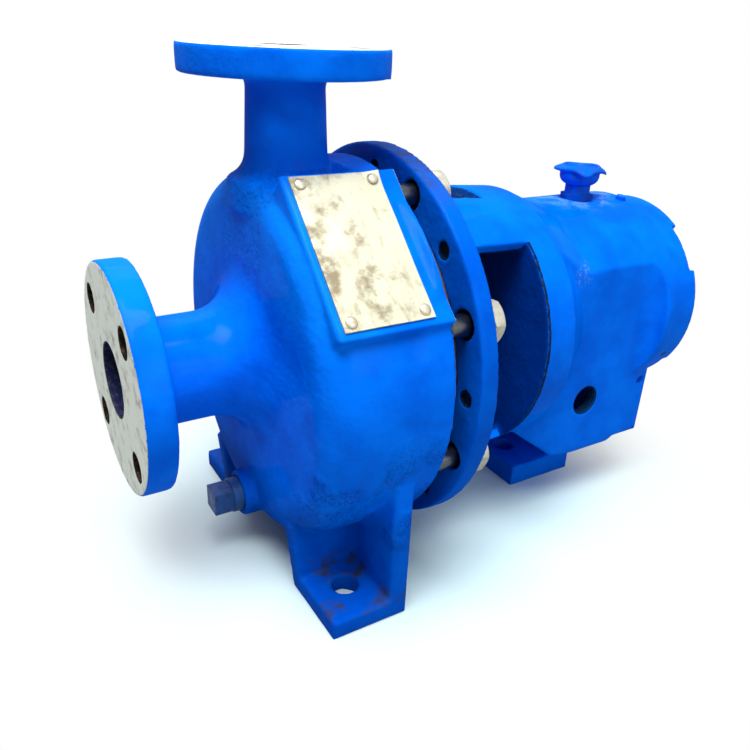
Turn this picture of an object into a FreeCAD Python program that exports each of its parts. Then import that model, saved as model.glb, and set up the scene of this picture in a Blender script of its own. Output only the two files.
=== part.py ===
"""Close-coupled-frame end-suction process pump, 1.5 by 1 inch, 6 inch impeller.

Frame of the part: X runs along the shaft from the suction flange to the coupling end, Z is up,
and the near side of the pump (nameplate, oiler port) is at minus Y. The origin lies on the
mounting plane, straight under the point where the discharge axis crosses the shaft axis.
Every piece on the shaft line is drawn about the shaft axis and then lifted by shaft_height.
"""
import FreeCAD, Part
import Sketcher
import math
import os
from types import SimpleNamespace

doc = FreeCAD.newDocument("process_pump")
sheet = doc.addObject("Spreadsheet::Sheet", "sizes")

# Driving dimensions, in millimetres and degrees.
# x positions are measured from the discharge axis, radii from the shaft axis.
SIZES = [
    # Envelope of the standard pump
    ("shaft_height", 133.35, "shaft axis above the mounting plane"),
    ("suction_reach", 101.6, "discharge axis to suction face"),
    ("discharge_reach", 165.1, "shaft axis to discharge face"),
    ("shaft_end_x", 342.9, "end of the shaft"),
    ("foot_spread", 152.4, "between the holes of the casing feet"),
    ("foot_span", 184.15, "casing foot holes to frame foot hole"),
    ("foot_hole_r", 7.95, "holes of the three feet"),
    # Flanges
    ("flange_hole_r", 7.95, "bolt holes of both flanges"),
    ("flange_hole_count", 4, "bolt holes in each flange"),
    ("suction_flange_r", 63.5, "suction flange"),
    ("suction_flange_t", 15.9, "suction flange thickness"),
    ("suction_pitch_r", 49.2, "suction bolt circle"),
    ("suction_bore_r", 20.5, "suction bore"),
    ("suction_neck_r", 30.0, "suction neck"),
    ("discharge_flange_r", 54.0, "discharge flange"),
    ("discharge_flange_t", 14.0, "discharge flange thickness"),
    ("discharge_pitch_r", 39.7, "discharge bolt circle"),
    ("discharge_bore_r", 13.3, "discharge bore"),
    ("discharge_neck_r", 20.6, "discharge neck under its flange"),
    ("discharge_root_r", 32.0, "discharge neck where it leaves the volute"),
    # Casing
    ("lobe_front_x", 28.0, "front face of the volute, ahead of the discharge axis"),
    ("lobe_r", 107.0, "outside of the volute"),
    ("lobe_round", 18.0, "rounding of the volute's front edge"),
    ("lobe_shift_near", 2.5, "volute centre towards the near side"),
    ("lobe_shift_down", 2.0, "volute centre below the shaft"),
    ("casing_rim_front_x", 18.0, "where the rim of the casing starts"),
    ("casing_rim_r", 109.5, "rim of the casing"),
    ("casing_back_x", 43.0, "rear face of the casing"),
    ("front_wall_x", 11.4, "inner front wall, ahead of the discharge axis"),
    ("volute_start_r", 81.0, "volute channel at the cutwater"),
    ("volute_growth", 4.5, "growth of the channel in each quarter turn"),
    ("volute_front_x", 14.0, "front of the channel, ahead of the discharge axis"),
    ("volute_back_x", 15.0, "back of the channel"),
    ("mouth_r", 84.0, "opening that the rear cover fills"),
    ("register_r", 93.0, "register of the cover in casing and frame"),
    ("gasket_seat_x", 24.0, "gasket seat in the casing"),
    ("gasket_t", 1.6, "casing gasket"),
    # Casing feet
    ("foot_t", 12.0, "base plate of a casing foot"),
    ("foot_outer_y", 102.5, "outer edge of a casing foot"),
    ("foot_inner_y", 50.0, "inner face of a casing foot"),
    ("foot_front_x", 21.5, "front edge of a casing foot, ahead of the discharge axis"),
    ("foot_back_x", 27.0, "back edge of a casing foot"),
    ("gusset_t", 12.0, "gusset of a casing foot"),
    ("foot_wall_t", 11.0, "inner wall of a casing foot"),
    ("gusset_top", 45.0, "top of the gusset, below the shaft"),
    # Casing drain
    ("drain_drop", 93.0, "casing drain below the shaft"),
    ("drain_boss_r", 14.5, "boss of the casing drain"),
    ("drain_boss_l", 8.0, "boss length in front of the volute"),
    ("drain_thread_r", 10.67, "half inch pipe plug"),
    ("drain_square", 14.3, "square of the pipe plug"),
    ("drain_head_l", 12.0, "length of the square"),
    ("drain_collar_l", 5.0, "thread left outside the boss"),
    ("drain_way_r", 6.0, "passage into the volute"),
    # Nameplate
    ("plate_tilt", 45.9, "plate faces this far above the near side"),
    ("pad_r", 105.5, "face of the nameplate pad from the shaft"),
    ("pad_front_x", 22.0, "front of the pad, ahead of the discharge axis"),
    ("pad_cove_r", 9.0, "cove between the pad and the rim behind it"),
    ("pad_low", 42.0, "lower end of the pad along its face"),
    ("pad_high", 47.5, "upper end of the pad along its face"),
    ("plate_t", 1.0, "nameplate"),
    ("plate_front_x", 18.2, "front edge of the plate, ahead of the discharge axis"),
    ("plate_w", 49.7, "nameplate along the shaft"),
    ("plate_low", 38.0, "lower end of the plate along the pad"),
    ("plate_h", 83.6, "nameplate around the casing"),
    ("rivet_inset", 4.6, "rivets from the plate's edges"),
    ("rivet_r", 1.4, "rivet shank"),
    ("rivet_head_r", 3.1, "rivet head"),
    ("rivet_head_h", 1.8, "rivet head height"),
    ("rivet_l", 5.0, "rivet shank length"),
    # Frame flange and its fasteners
    ("ring_front_x", 54.8, "front face of the frame flange"),
    ("ring_back_x", 65.4, "back face of the frame flange"),
    ("ring_r", 115.3, "frame flange"),
    ("bolt_pitch_r", 101.8, "circle of the casing bolts"),
    ("bolt_count", 8, "casing bolts"),
    ("bolt_first", 22.5, "first bolt above the near side"),
    ("bolt_r", 6.35, "casing bolt shank"),
    ("bolt_hole_r", 8.25, "clearance hole for a casing bolt"),
    ("bolt_flat", 22.2, "casing bolt head across its flats"),
    ("bolt_head_h", 8.3, "casing bolt head"),
    ("bolt_depth", 18.0, "bolt engagement in the casing"),
    ("jack_r", 4.76, "tapped hole between the bolts"),
    ("scallop_r", 16.5, "wrench clearance behind each head"),
    ("scallop_end_x", 120.0, "end of the wrench clearance"),
    # Adapter drum
    ("drum_front_r", 90.0, "drum at the flange"),
    ("drum_wall_x", 126.9, "front wall of the bearing housing"),
    ("drum_wall_r", 86.0, "drum at the front wall"),
    ("drum_back_x", 150.0, "drum where it starts to taper"),
    ("drum_back_r", 84.5, "drum radius there"),
    ("drum_t", 9.0, "wall of the drum"),
    ("register_depth", 6.2, "depth of the cover's register in the flange"),
    ("window_angle", 49.0, "half opening of a side window"),
    # Bearing housing
    ("housing_r", 73.5, "bearing housing"),
    ("housing_front_x", 176.0, "end of the taper on the housing's top"),
    ("housing_back_x", 257.5, "rear face of the housing"),
    ("flat_y", 61.0, "flat sides of the housing"),
    ("flat_start_x", 181.0, "where the taper meets the flat sides"),
    ("collar_x", 236.0, "where the flat sides start to run out"),
    ("sump_front_x", 135.5, "front of the oil sump"),
    ("sump_front_drop", 64.0, "sump's front edge below the shaft"),
    ("sump_slope_x", 172.0, "end of the slanted front of the sump"),
    ("sump_drop", 91.5, "underside of the sump below the shaft"),
    ("sump_keel_drop", 98.5, "underside over the foot, below the shaft"),
    ("sump_corner_r", 9.0, "round lower corners of the sump"),
    ("sump_wall", 8.5, "wall of the sump"),
    ("frame_foot_front_x", 168.0, "frame foot, front"),
    ("frame_foot_back_x", 225.0, "frame foot, back"),
    ("frame_foot_y", 30.0, "half width of the frame foot"),
    ("frame_foot_t", 16.0, "frame foot plate"),
    ("frame_leg_front_x", 203.0, "front of the leg over the frame foot"),
    ("cavity_r", 52.0, "inside of the bearing housing"),
    ("cavity_front_x", 142.0, "front of the housing's inside"),
    ("cavity_back_x", 214.0, "back of the housing's inside"),
    ("bearing_boss_r", 44.0, "boss round the inboard bearing"),
    # Ports of the bearing housing
    ("oiler_x", 196.9, "oiler port along the shaft"),
    ("oiler_drop", 53.4, "oiler port below the shaft"),
    ("oiler_r", 10.2, "oiler port"),
    ("glass_r", 11.0, "sight glass thread"),
    ("glass_flange_r", 16.5, "sight glass bezel"),
    ("glass_flange_t", 6.0, "sight glass bezel thickness"),
    ("lens_r", 8.0, "sight glass lens"),
    ("filler_x", 220.8, "oil filler along the shaft"),
    ("filler_seat", 71.5, "spot face of the filler above the shaft"),
    ("filler_spot_r", 13.0, "spot face radius"),
    ("filler_thread_r", 8.0, "filler bushing thread"),
    ("filler_flat", 19.0, "filler bushing across its flats"),
    ("filler_hex_h", 4.5, "filler bushing hexagon"),
    ("filler_neck_r", 8.5, "filler bushing neck"),
    ("filler_neck_h", 6.0, "filler bushing neck height"),
    ("filler_bore_r", 6.3, "filler bore"),
    ("cap_gap", 0.3, "cap stem in the filler bore"),
    ("cap_root_r", 10.0, "underside of the cap's bowl"),
    ("cap_bowl_r", 13.5, "cap's bowl"),
    ("cap_bowl_h", 9.6, "cap's bowl height"),
    ("cap_lobe_h", 3.6, "lobed rim of the cap"),
    ("cap_lobe_r", 5.6, "one lobe"),
    ("cap_lobe_pitch_r", 12.4, "lobes from the cap's axis"),
    ("cap_lobe_count", 4, "lobes on the cap"),
    ("cap_lobe_first", -32.0, "first lobe from the shaft line, seen from above"),
    ("cap_dish_r", 10.5, "dish in the cap's top"),
    ("sump_plug_drop", 80.0, "sump drain below the shaft"),
    ("sump_plug_r", 6.85, "sump drain thread"),
    ("sump_plug_square", 9.5, "square of the sump drain plug"),
    ("sump_plug_l", 8.5, "length of that square"),
    # Seal chamber cover and gland
    ("cover_front_x", 14.0, "front face of the rear cover"),
    ("cover_web_t", 16.0, "web of the rear cover"),
    ("cover_fit", 0.25, "clearance of the cover in casing and frame"),
    ("cover_rim_t", 9.0, "rim of the rear cover"),
    ("throat_r", 18.4, "throat of the seal chamber"),
    ("chamber_r", 30.0, "seal chamber bore"),
    ("chamber_front_x", 32.0, "front of the seal chamber"),
    ("chamber_back_x", 84.0, "back of the seal chamber"),
    ("chamber_outer_r", 47.0, "outside of the seal chamber"),
    ("gland_gasket_t", 0.8, "gland gasket"),
    ("gland_t", 12.0, "gland plate"),
    ("gland_pilot_l", 5.0, "gland pilot in the chamber"),
    ("stud_pitch_r", 38.5, "circle of the gland studs"),
    ("stud_count", 4, "gland studs"),
    ("stud_first", 45.0, "first gland stud above the near side"),
    ("stud_r", 4.76, "gland stud"),
    ("stud_depth", 16.0, "stud engagement in the cover"),
    ("stud_nut_flat", 14.3, "gland nut across its flats"),
    ("stud_nut_h", 8.0, "gland nut"),
    ("stud_spare", 2.5, "stud past its nut"),
    ("seat_r", 24.0, "outside of the stationary seal face"),
    ("seat_bore_r", 18.6, "inside of the stationary seal face"),
    ("seat_l", 9.5, "length of the stationary seal face"),
    ("seal_face_gap", 0.5, "between the two seal faces"),
    ("seal_face_r", 24.5, "outside of the rotating seal face"),
    ("seal_face_l", 6.0, "length of the rotating seal face"),
    ("seal_body_r", 26.0, "drive collar of the seal"),
    ("seal_body_l", 26.0, "length of the drive collar"),
    # Impeller
    ("impeller_r", 76.2, "impeller"),
    ("impeller_gap", 0.4, "vane edges to the casing's front wall"),
    ("shroud_front_x", 6.0, "front of the back shroud"),
    ("shroud_t", 4.5, "back shroud"),
    ("impeller_nose_x", 19.0, "tip of the hub, ahead of the discharge axis"),
    ("impeller_hub_r", 17.4, "hub at the sleeve"),
    ("impeller_gasket_t", 0.8, "gasket between hub and sleeve"),
    ("vane_count", 5, "vanes"),
    ("vane_t", 4.2, "vane thickness"),
    ("vane_bend_r", 46.0, "radius of a vane's curve"),
    ("vane_centre_r", 41.0, "centre of that curve from the shaft"),
    ("vane_inner_r", 17.0, "inner end of a vane"),
    ("rib_h", 2.3, "pump-out ribs on the back"),
    ("rib_w", 4.0, "width of a pump-out rib"),
    # Shaft
    ("shaft_nose_r", 9.5, "shaft under the impeller"),
    ("shaft_nose_x", 6.0, "shaft tip, ahead of the discharge axis"),
    ("sleeve_bore_r", 14.25, "shaft under the sleeve"),
    ("sleeve_r", 17.45, "shaft sleeve"),
    ("sleeve_end_x", 104.0, "end of the shaft sleeve"),
    ("shaft_seal_r", 16.0, "shaft under the inboard oil seal"),
    ("shaft_middle_r", 18.5, "shaft between the bearings"),
    ("shaft_shoulder_r", 21.0, "shoulder at the inboard bearing"),
    ("shaft_shoulder_l", 7.0, "length of that shoulder"),
    ("shaft_outer_seal_r", 12.6, "shaft under the outboard oil seal"),
    ("coupling_r", 11.11, "coupling end of the shaft"),
    ("coupling_l", 50.8, "coupling end length"),
    ("key_w", 4.76, "keyway"),
    ("key_l", 38.1, "keyway length"),
    ("key_setback", 4.8, "keyway from the end of the shaft"),
    ("seal_clear", 0.1, "lip of an oil seal off the shaft"),
    # Bearings
    ("inboard_x", 136.0, "front face of the inboard bearing"),
    ("inboard_w", 17.0, "inboard bearing width"),
    ("inboard_bore_r", 17.5, "inboard bearing bore"),
    ("bearing_r", 36.0, "outside of both bearings"),
    ("bearing_fit", 0.03, "inboard bearing in its housing bore"),
    ("inboard_pitch_r", 26.75, "inboard ball circle"),
    ("inboard_ball_r", 5.5, "inboard ball"),
    ("inboard_ball_count", 9, "inboard balls"),
    ("thrust_x", 226.0, "front face of the thrust bearing"),
    ("thrust_w", 30.2, "thrust bearing width"),
    ("thrust_bore_r", 15.0, "thrust bearing bore"),
    ("thrust_pitch_r", 25.5, "thrust ball circle"),
    ("thrust_ball_r", 4.75, "thrust ball"),
    ("thrust_ball_count", 11, "balls in each thrust row"),
    ("thrust_row_x", 7.0, "each thrust row from the bearing's middle"),
    ("race_gap", 0.35, "balls off their races"),
    ("ball_flat", 0.85, "flats of a faceted ball within its sphere, as a share of its radius"),
    ("washer_t", 1.2, "lock washer"),
    ("nut_r", 22.5, "bearing lock nut"),
    ("nut_l", 7.6, "bearing lock nut length"),
    ("nut_slot_w", 5.0, "slots of the lock nut"),
    ("oil_seal_l", 7.0, "oil seal length"),
    ("inboard_seal_r", 26.0, "inboard oil seal, outside"),
    ("outboard_seal_r", 20.0, "outboard oil seal, outside"),
    ("deflector_x", 111.0, "front of the deflector"),
    ("deflector_l", 8.0, "deflector length"),
    ("deflector_r", 29.0, "deflector"),
    # Bearing carrier
    ("carrier_front_x", 219.0, "front end of the bearing carrier"),
    ("carrier_pilot_r", 51.0, "carrier ahead of its thread"),
    ("carrier_thread_x", 246.5, "front of the carrier thread"),
    ("carrier_thread_r", 60.0, "carrier thread"),
    ("carrier_fit", 0.05, "carrier thread in the housing"),
    ("carrier_gap", 1.0, "carrier rim off the housing"),
    ("carrier_r", 68.8, "carrier rim"),
    ("carrier_back_x", 283.6, "rear face of the carrier"),
    ("notch_depth", 5.2, "spanner notches in the rim"),
    ("notch_angle", 28.5, "width of a notch"),
    ("notch_first", 40.5, "first notch above the near side"),
    ("notch_count", 4, "spanner notches"),
    ("carrier_rim_t", 12.8, "wall of the notched rim"),
    ("clip_t", 1.8, "retaining ring"),
    ("clip_r", 37.6, "groove of the retaining ring"),
    ("carrier_ring_x", 236.0, "o-ring groove of the carrier"),
    ("carrier_ring_w", 3.5, "o-ring width"),
    ("lock_screw_x", 251.5, "lock screws of the carrier"),
    ("lock_screw_r", 3.2, "lock screw"),
    ("lock_screw_count", 3, "lock screws"),
    ("lock_screw_first", 80.0, "first lock screw above the near side"),
    ("lock_screw_proud", 2.0, "lock screw above the housing"),
]


class Size:
    """A length that carries its formula in the sheet beside its value."""

    def __init__(self, text, number):
        self.text = text
        self.number = number

    def __add__(self, other):
        other = as_size(other)
        return Size(f"({self.text} + {other.text})", self.number + other.number)

    def __sub__(self, other):
        other = as_size(other)
        return Size(f"({self.text} - {other.text})", self.number - other.number)

    def __mul__(self, other):
        other = as_size(other)
        return Size(f"({self.text} * {other.text})", self.number * other.number)

    def __truediv__(self, other):
        other = as_size(other)
        return Size(f"({self.text} / {other.text})", self.number / other.number)

    def __radd__(self, other):
        return as_size(other) + self

    def __rsub__(self, other):
        return as_size(other) - self

    def __rmul__(self, other):
        return as_size(other) * self

    def __neg__(self):
        return Size(f"(0 - {self.text})", -self.number)


def as_size(thing):
    """A plain number takes part in formulas as itself."""
    return thing if isinstance(thing, Size) else Size(repr(float(thing)), float(thing))


def cos_of(angle):
    return Size(f"cos({angle.text})", math.cos(math.radians(angle.number)))


def sin_of(angle):
    return Size(f"sin({angle.text})", math.sin(math.radians(angle.number)))


def tan_of(angle):
    return Size(f"tan({angle.text})", math.tan(math.radians(angle.number)))


for row, (alias, amount, note) in enumerate(SIZES, start=1):
    sheet.set(f"A{row}", note)
    sheet.set(f"B{row}", str(amount))
    sheet.setAlias(f"B{row}", alias)
doc.recompute()
mm = SimpleNamespace(**{alias: Size(f"sizes.{alias}", float(amount)) for alias, amount, note in SIZES})


# How the axis of a rod is turned away from Z
TURNS = {
    "x": FreeCAD.Rotation(FreeCAD.Vector(0, 1, 0), 90),
    "-x": FreeCAD.Rotation(FreeCAD.Vector(0, 1, 0), -90),
    "y": FreeCAD.Rotation(FreeCAD.Vector(1, 0, 0), -90),
    "-y": FreeCAD.Rotation(FreeCAD.Vector(1, 0, 0), 90),
    "z": FreeCAD.Rotation(),
}
NODES = []


def drive(item, path, amount):
    """Bind one property of an object to its formula."""
    item.setExpression(path, as_size(amount).text)


def put(item, at, rotation=FreeCAD.Rotation()):
    """Place an object, its position bound to the sheet."""
    item.Placement = FreeCAD.Placement(FreeCAD.Vector(), rotation)
    for letter, amount in zip("xyz", at):
        drive(item, f"Placement.Base.{letter}", amount)


def node(item, name):
    """Make an object one of the part's sub-parts."""
    item.Label = name
    NODES.append(item)
    return item


def new_body(name):
    """A body drawn about the shaft axis."""
    body = doc.addObject("PartDesign::Body", name)
    drive(body, "Placement.Base.z", mm.shaft_height)
    return node(body, name)


def origin_item(body, role):
    return next(item for item in body.Origin.OriginFeatures if item.Role == role)


def new_sketch(body, role, offset, tilt=0):
    """A sketch on one of the body's own planes, moved and tilted in that plane's axes."""
    sketch = body.newObject("Sketcher::SketchObject", body.Name + "_sketch")
    sketch.AttachmentSupport = (origin_item(body, role), "")
    sketch.MapMode = "FlatFace"
    rotation = FreeCAD.Rotation(FreeCAD.Vector(1, 0, 0), tilt)
    sketch.AttachmentOffset = FreeCAD.Placement(FreeCAD.Vector(), rotation)
    for letter, amount in zip("xyz", offset):
        drive(sketch, f"AttachmentOffset.Base.{letter}", amount)
    return sketch


def arc_between(start, end, radius, side):
    """The shorter arc from start to end, with its centre to the left (1) or right (-1)."""
    middle = (start + end) * 0.5
    half = (end - start) * 0.5
    left = FreeCAD.Vector(-half.y, half.x, 0).normalize()
    centre = middle + left * side * math.sqrt(max(radius ** 2 - half.Length ** 2, 0.0))
    first, last = (start, end) if side > 0 else (end, start)
    angles = [math.atan2(point.y - centre.y, point.x - centre.x) for point in (first, last)]
    circle = Part.Circle(centre, FreeCAD.Vector(0, 0, 1), radius)
    return Part.ArcOfCircle(circle, angles[0], angles[1])


def outline(body, role, corners, offset=(0, 0, 0), tilt=0):
    """A closed outline. A corner is (x, y), or (x, y, radius, side) where an arc arrives."""
    sketch = new_sketch(body, role, offset, tilt)
    corners = [tuple(as_size(amount) for amount in corner) for corner in corners]
    points = [FreeCAD.Vector(corner[0].number, corner[1].number, 0) for corner in corners]
    rules = []
    named = []
    ends = []
    for index, corner in enumerate(corners):
        target = corners[(index + 1) % len(corners)]
        start, end = points[index], points[(index + 1) % len(corners)]
        if len(target) == 2:
            sketch.addGeometry(Part.LineSegment(start, end), False)
            ends.append((1, 2))
            continue
        side = target[3].number
        sketch.addGeometry(arc_between(start, end, target[2].number, side), False)
        ends.append((1, 2) if side > 0 else (2, 1))
        named.append((f"bend{index}", Sketcher.Constraint("Radius", index, target[2].number), target[2]))
    for index, (first, last) in enumerate(ends):
        after = (index + 1) % len(ends)
        rules.append(Sketcher.Constraint("Coincident", index, last, after, ends[after][0]))
        for letter, amount in zip("XY", corners[index]):
            rule = Sketcher.Constraint(f"Distance{letter}", -1, 1, index, first, amount.number)
            named.append((f"{letter.lower()}{index}", rule, amount))
    sketch.addConstraint(rules + [rule for name, rule, amount in named])
    for index, (name, rule, amount) in enumerate(named, start=len(rules)):
        sketch.renameConstraint(index, name)
        drive(sketch, f"Constraints.{name}", amount)
    return sketch


def add(body, kind):
    feature = body.newObject(f"PartDesign::{kind}", f"{body.Name}_{kind.lower()}")
    body.Tip = feature
    return feature


def turn(body, corners, cut=False, offset=(0, 0, 0), about="H_Axis"):
    """Turn an outline of (x, radius) corners about the shaft axis, or (radius, z) about Z."""
    sketch = outline(body, "XZ_Plane", corners, offset)
    feature = add(body, "Groove" if cut else "Revolution")
    feature.Profile = sketch
    feature.ReferenceAxis = (sketch, [about])
    feature.Angle = 360
    return feature


def turned(name, corners):
    """A sub-part that is one turned shape about the shaft."""
    body = new_body(name)
    turn(body, corners)
    return body


def extrude(body, role, corners, length, start=0, cut=False, both_ways=False):
    """Raise or cut an outline from its plane at start, along the plane's normal."""
    sketch = outline(body, role, corners, (0, 0, start))
    feature = add(body, "Pocket" if cut else "Pad")
    feature.Profile = sketch
    feature.Reversed = cut
    if both_ways:
        feature.SideType = "Symmetric"
    drive(feature, "Length", length)
    return feature


def rod(body, axis, at, length, radius, cut=False):
    """Add or cut a cylinder that starts at a point and runs along an axis."""
    feature = add(body, "SubtractiveCylinder" if cut else "AdditiveCylinder")
    put(feature, at, TURNS[axis] if isinstance(axis, str) else axis)
    drive(feature, "Radius", radius)
    drive(feature, "Height", length)
    return feature


def brick(body, low, high, cut=False, rotation=FreeCAD.Rotation()):
    """Add or cut a block between two corners, in its own turned axes if it has any."""
    feature = add(body, "SubtractiveBox" if cut else "AdditiveBox")
    put(feature, low, rotation)
    for side, first, last in zip(("Length", "Width", "Height"), low, high):
        drive(feature, side, as_size(last) - first)
    return feature


def around(body, feature, count, axis="X_Axis"):
    """Repeat a feature evenly round the shaft, or round the axis of a sketch."""
    pattern = add(body, "PolarPattern")
    pattern.Originals = [feature]
    pattern.Axis = axis if isinstance(axis, tuple) else (origin_item(body, axis), [""])
    pattern.Angle = 360
    drive(pattern, "Occurrences", count)
    return pattern


def polar(radius, angle):
    """Y and Z at an angle above the near side, seen along the shaft."""
    return -(radius * cos_of(angle)), radius * sin_of(angle)


def angle_of(first, index, count):
    """The angle of one of several evenly spaced places."""
    return first + index * (360 / count.number)


def on_pad(face, along):
    """Y and Z of a point that lies out along the plate's normal and up along its face."""
    y = along * sin_of(mm.plate_tilt) - face * cos_of(mm.plate_tilt)
    z = face * sin_of(mm.plate_tilt) + along * cos_of(mm.plate_tilt)
    return y, z


PAD_TURN = FreeCAD.Rotation(FreeCAD.Vector(1, 0, 0), 90 - mm.plate_tilt.number)


def primitive(kind, at, rotation=FreeCAD.Rotation(), **amounts):
    """A Part primitive with its sizes bound to the sheet."""
    item = doc.addObject(f"Part::{kind}", kind.lower())
    put(item, at, rotation)
    for name, amount in amounts.items():
        drive(item, name, amount)
    return item


def joined(items):
    item = doc.addObject("Part::MultiFuse", "joined")
    item.Shapes = items
    return item


def drilled(item, tool):
    """One solid less another."""
    cut = doc.addObject("Part::Cut", "drilled")
    cut.Base = item
    cut.Tool = tool
    return cut


def group(name, items):
    """Identical loose pieces that share one node as separate solids."""
    item = doc.addObject("Part::Compound", name)
    item.Links = items
    return node(item, name)


def hexagon(at, axis, flat, height, twist=0):
    """A hexagonal prism given by its size across the flats."""
    rotation = TURNS[axis].multiply(FreeCAD.Rotation(FreeCAD.Vector(0, 0, 1), twist))
    item = primitive("Prism", at, rotation, Circumradius=flat / math.sqrt(3), Height=height)
    item.Polygon = 6
    return item


def square_plug(name, axis, at, thread_r, thread_l, collar_l, square, head_l):
    """A pipe plug: thread in its boss, a short collar outside and a square head."""
    sign = -1 if axis.startswith("-") else 1
    x, y, z = at
    head_x = x + sign * (thread_l + collar_l)
    thread = primitive("Cylinder", at, TURNS[axis], Radius=thread_r, Height=thread_l + collar_l)
    corner_x = head_x - head_l if sign < 0 else head_x
    half = square / 2
    head = primitive("Box", (corner_x, y - half, z - half), Length=head_l, Width=square, Height=square)
    return node(joined([thread, head]), name)


# Casing: volute, two flanged nozzles, feet, drain boss and nameplate pad in one casting

def volute_spiral():
    """The channel's outline: four quarter arcs whose centres step round a small square."""
    half = mm.volute_growth / 2
    far, bottom, near, top = [mm.volute_start_r + mm.volute_growth * (step + 0.5) for step in range(4)]
    return [
        (0, mm.volute_start_r),
        (far, -half, far, -1),
        (-mm.volute_growth, -half - bottom, bottom, -1),
        (-mm.volute_growth - near, half, near, -1),
        (0, half + top, top, -1),
    ]


def make_casing():
    casing = new_body("casing")
    face = -mm.suction_reach
    front = -mm.lobe_front_x
    back_of_flange = face + mm.suction_flange_t
    turn(casing, [
        (face, 0),
        (face, mm.suction_flange_r - 1),
        (face + 1, mm.suction_flange_r),
        (back_of_flange, mm.suction_flange_r),
        (back_of_flange, mm.suction_neck_r + 6),
        (back_of_flange + 6, mm.suction_neck_r, 6, 1),
        (front - 26, mm.suction_neck_r),
        (front, mm.suction_neck_r + 26, 26, 1),
        (front + 8, mm.suction_neck_r + 26),
        (front + 8, 0),
    ])
    lobe_centre = (0, -mm.lobe_shift_down, mm.lobe_shift_near)
    turn(casing, [
        (front, 0),
        (front, mm.lobe_r - mm.lobe_round),
        (front + mm.lobe_round, mm.lobe_r, mm.lobe_round, -1),
        (mm.casing_back_x - 16, mm.lobe_r),
        (mm.casing_back_x - 16, 0),
    ], offset=lobe_centre)
    turn(casing, [
        (mm.casing_rim_front_x, 0),
        (mm.casing_rim_front_x, mm.lobe_r - 4),
        (mm.casing_rim_front_x + 7, mm.casing_rim_r, 12, -1),
        (mm.casing_back_x - 1, mm.casing_rim_r),
        (mm.casing_back_x, mm.casing_rim_r - 1),
        (mm.casing_back_x, 0),
    ])
    flange_under = mm.discharge_reach - mm.discharge_flange_t
    turn(casing, [
        (0, mm.mouth_r),
        (mm.discharge_root_r, mm.mouth_r),
        (mm.discharge_root_r, mm.lobe_r - 7),
        (mm.discharge_neck_r + 1.4, mm.lobe_r + 6, 14, -1),
        (mm.discharge_neck_r, flange_under - 5),
        (mm.discharge_neck_r + 5, flange_under, 5, -1),
        (mm.discharge_flange_r, flange_under),
        (mm.discharge_flange_r, mm.discharge_reach - 1),
        (mm.discharge_flange_r - 1, mm.discharge_reach),
        (0, mm.discharge_reach),
    ], about="V_Axis")
    add_nameplate_pad(casing)
    for side in (-1, 1):
        add_casing_foot(casing, side)
    rod(casing, "-x", (front + 10, 0, -mm.drain_drop), mm.drain_boss_l + 10, mm.drain_boss_r)
    cut_casing_inside(casing)
    cut_casing_holes(casing)
    return casing


def add_nameplate_pad(casing):
    """The raised flat on the near upper side, coved up to the rim behind it."""
    front, back = -mm.pad_front_x, mm.casing_back_x
    deep = mm.pad_r - 24
    clear = mm.pad_r + 30
    block = [(front, deep), (back, deep), (back, mm.pad_r), (front, mm.pad_r)]
    shave = [
        (front - 1, mm.pad_r),
        (back - mm.pad_cove_r, mm.pad_r),
        (back, mm.pad_r + mm.pad_cove_r, mm.pad_cove_r, 1),
        (back, clear),
        (front - 1, clear),
    ]
    for corners, cut in ((block, False), (shave, True)):
        sketch = new_pad_sketch(casing, corners)
        feature = add(casing, "Pocket" if cut else "Pad")
        feature.Profile = sketch
        feature.Reversed = not cut
        drive(feature, "Length", mm.pad_low + mm.pad_high)


def new_pad_sketch(casing, corners):
    """An outline of (x, distance from the shaft) corners, at the lower end of the pad."""
    y, z = on_pad(0, -mm.pad_low)
    sketch = outline(casing, "XZ_Plane", corners, (0, z, -y), 90 - mm.plate_tilt.number)
    return sketch


def add_casing_foot(casing, side):
    """A base plate with an inner wall and a gusset behind it, open to the front and side."""
    ground = -mm.shaft_height
    front, back = -mm.foot_front_x, mm.foot_back_x
    lower_y = mm.foot_inner_y if side > 0 else -mm.foot_outer_y
    upper_y = mm.foot_outer_y if side > 0 else -mm.foot_inner_y
    brick(casing, (front, lower_y, ground), (back, upper_y, ground + mm.foot_t))
    brick(casing, (back - mm.gusset_t, lower_y, ground), (back, upper_y, -mm.gusset_top))
    middle = side * (mm.foot_inner_y + mm.foot_wall_t / 2)
    extrude(casing, "XZ_Plane", [
        (front, ground),
        (back, ground),
        (back, -mm.gusset_top - 20),
        (front - 6, -mm.gusset_top - 38),
    ], mm.foot_wall_t, start=-middle, both_ways=True)


def cut_casing_inside(casing):
    """Suction passage, impeller room, cover registers, volute channel and discharge bore."""
    face = -mm.suction_reach
    wall = -mm.front_wall_x
    turn(casing, [
        (face - 1, 0),
        (face - 1, mm.suction_bore_r),
        (wall - 11, mm.suction_bore_r),
        (wall, mm.suction_bore_r + 5),
        (wall, mm.mouth_r),
        (mm.gasket_seat_x, mm.mouth_r),
        (mm.gasket_seat_x, mm.register_r),
        (mm.casing_back_x + 1, mm.register_r),
        (mm.casing_back_x + 1, 0),
    ], cut=True)
    channel = mm.volute_front_x + mm.volute_back_x
    extrude(casing, "YZ_Plane", volute_spiral(), channel, start=-mm.volute_front_x, cut=True)
    rod(casing, "z", (0, 0, mm.volute_start_r - 8), mm.discharge_reach, mm.discharge_bore_r, cut=True)


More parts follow.
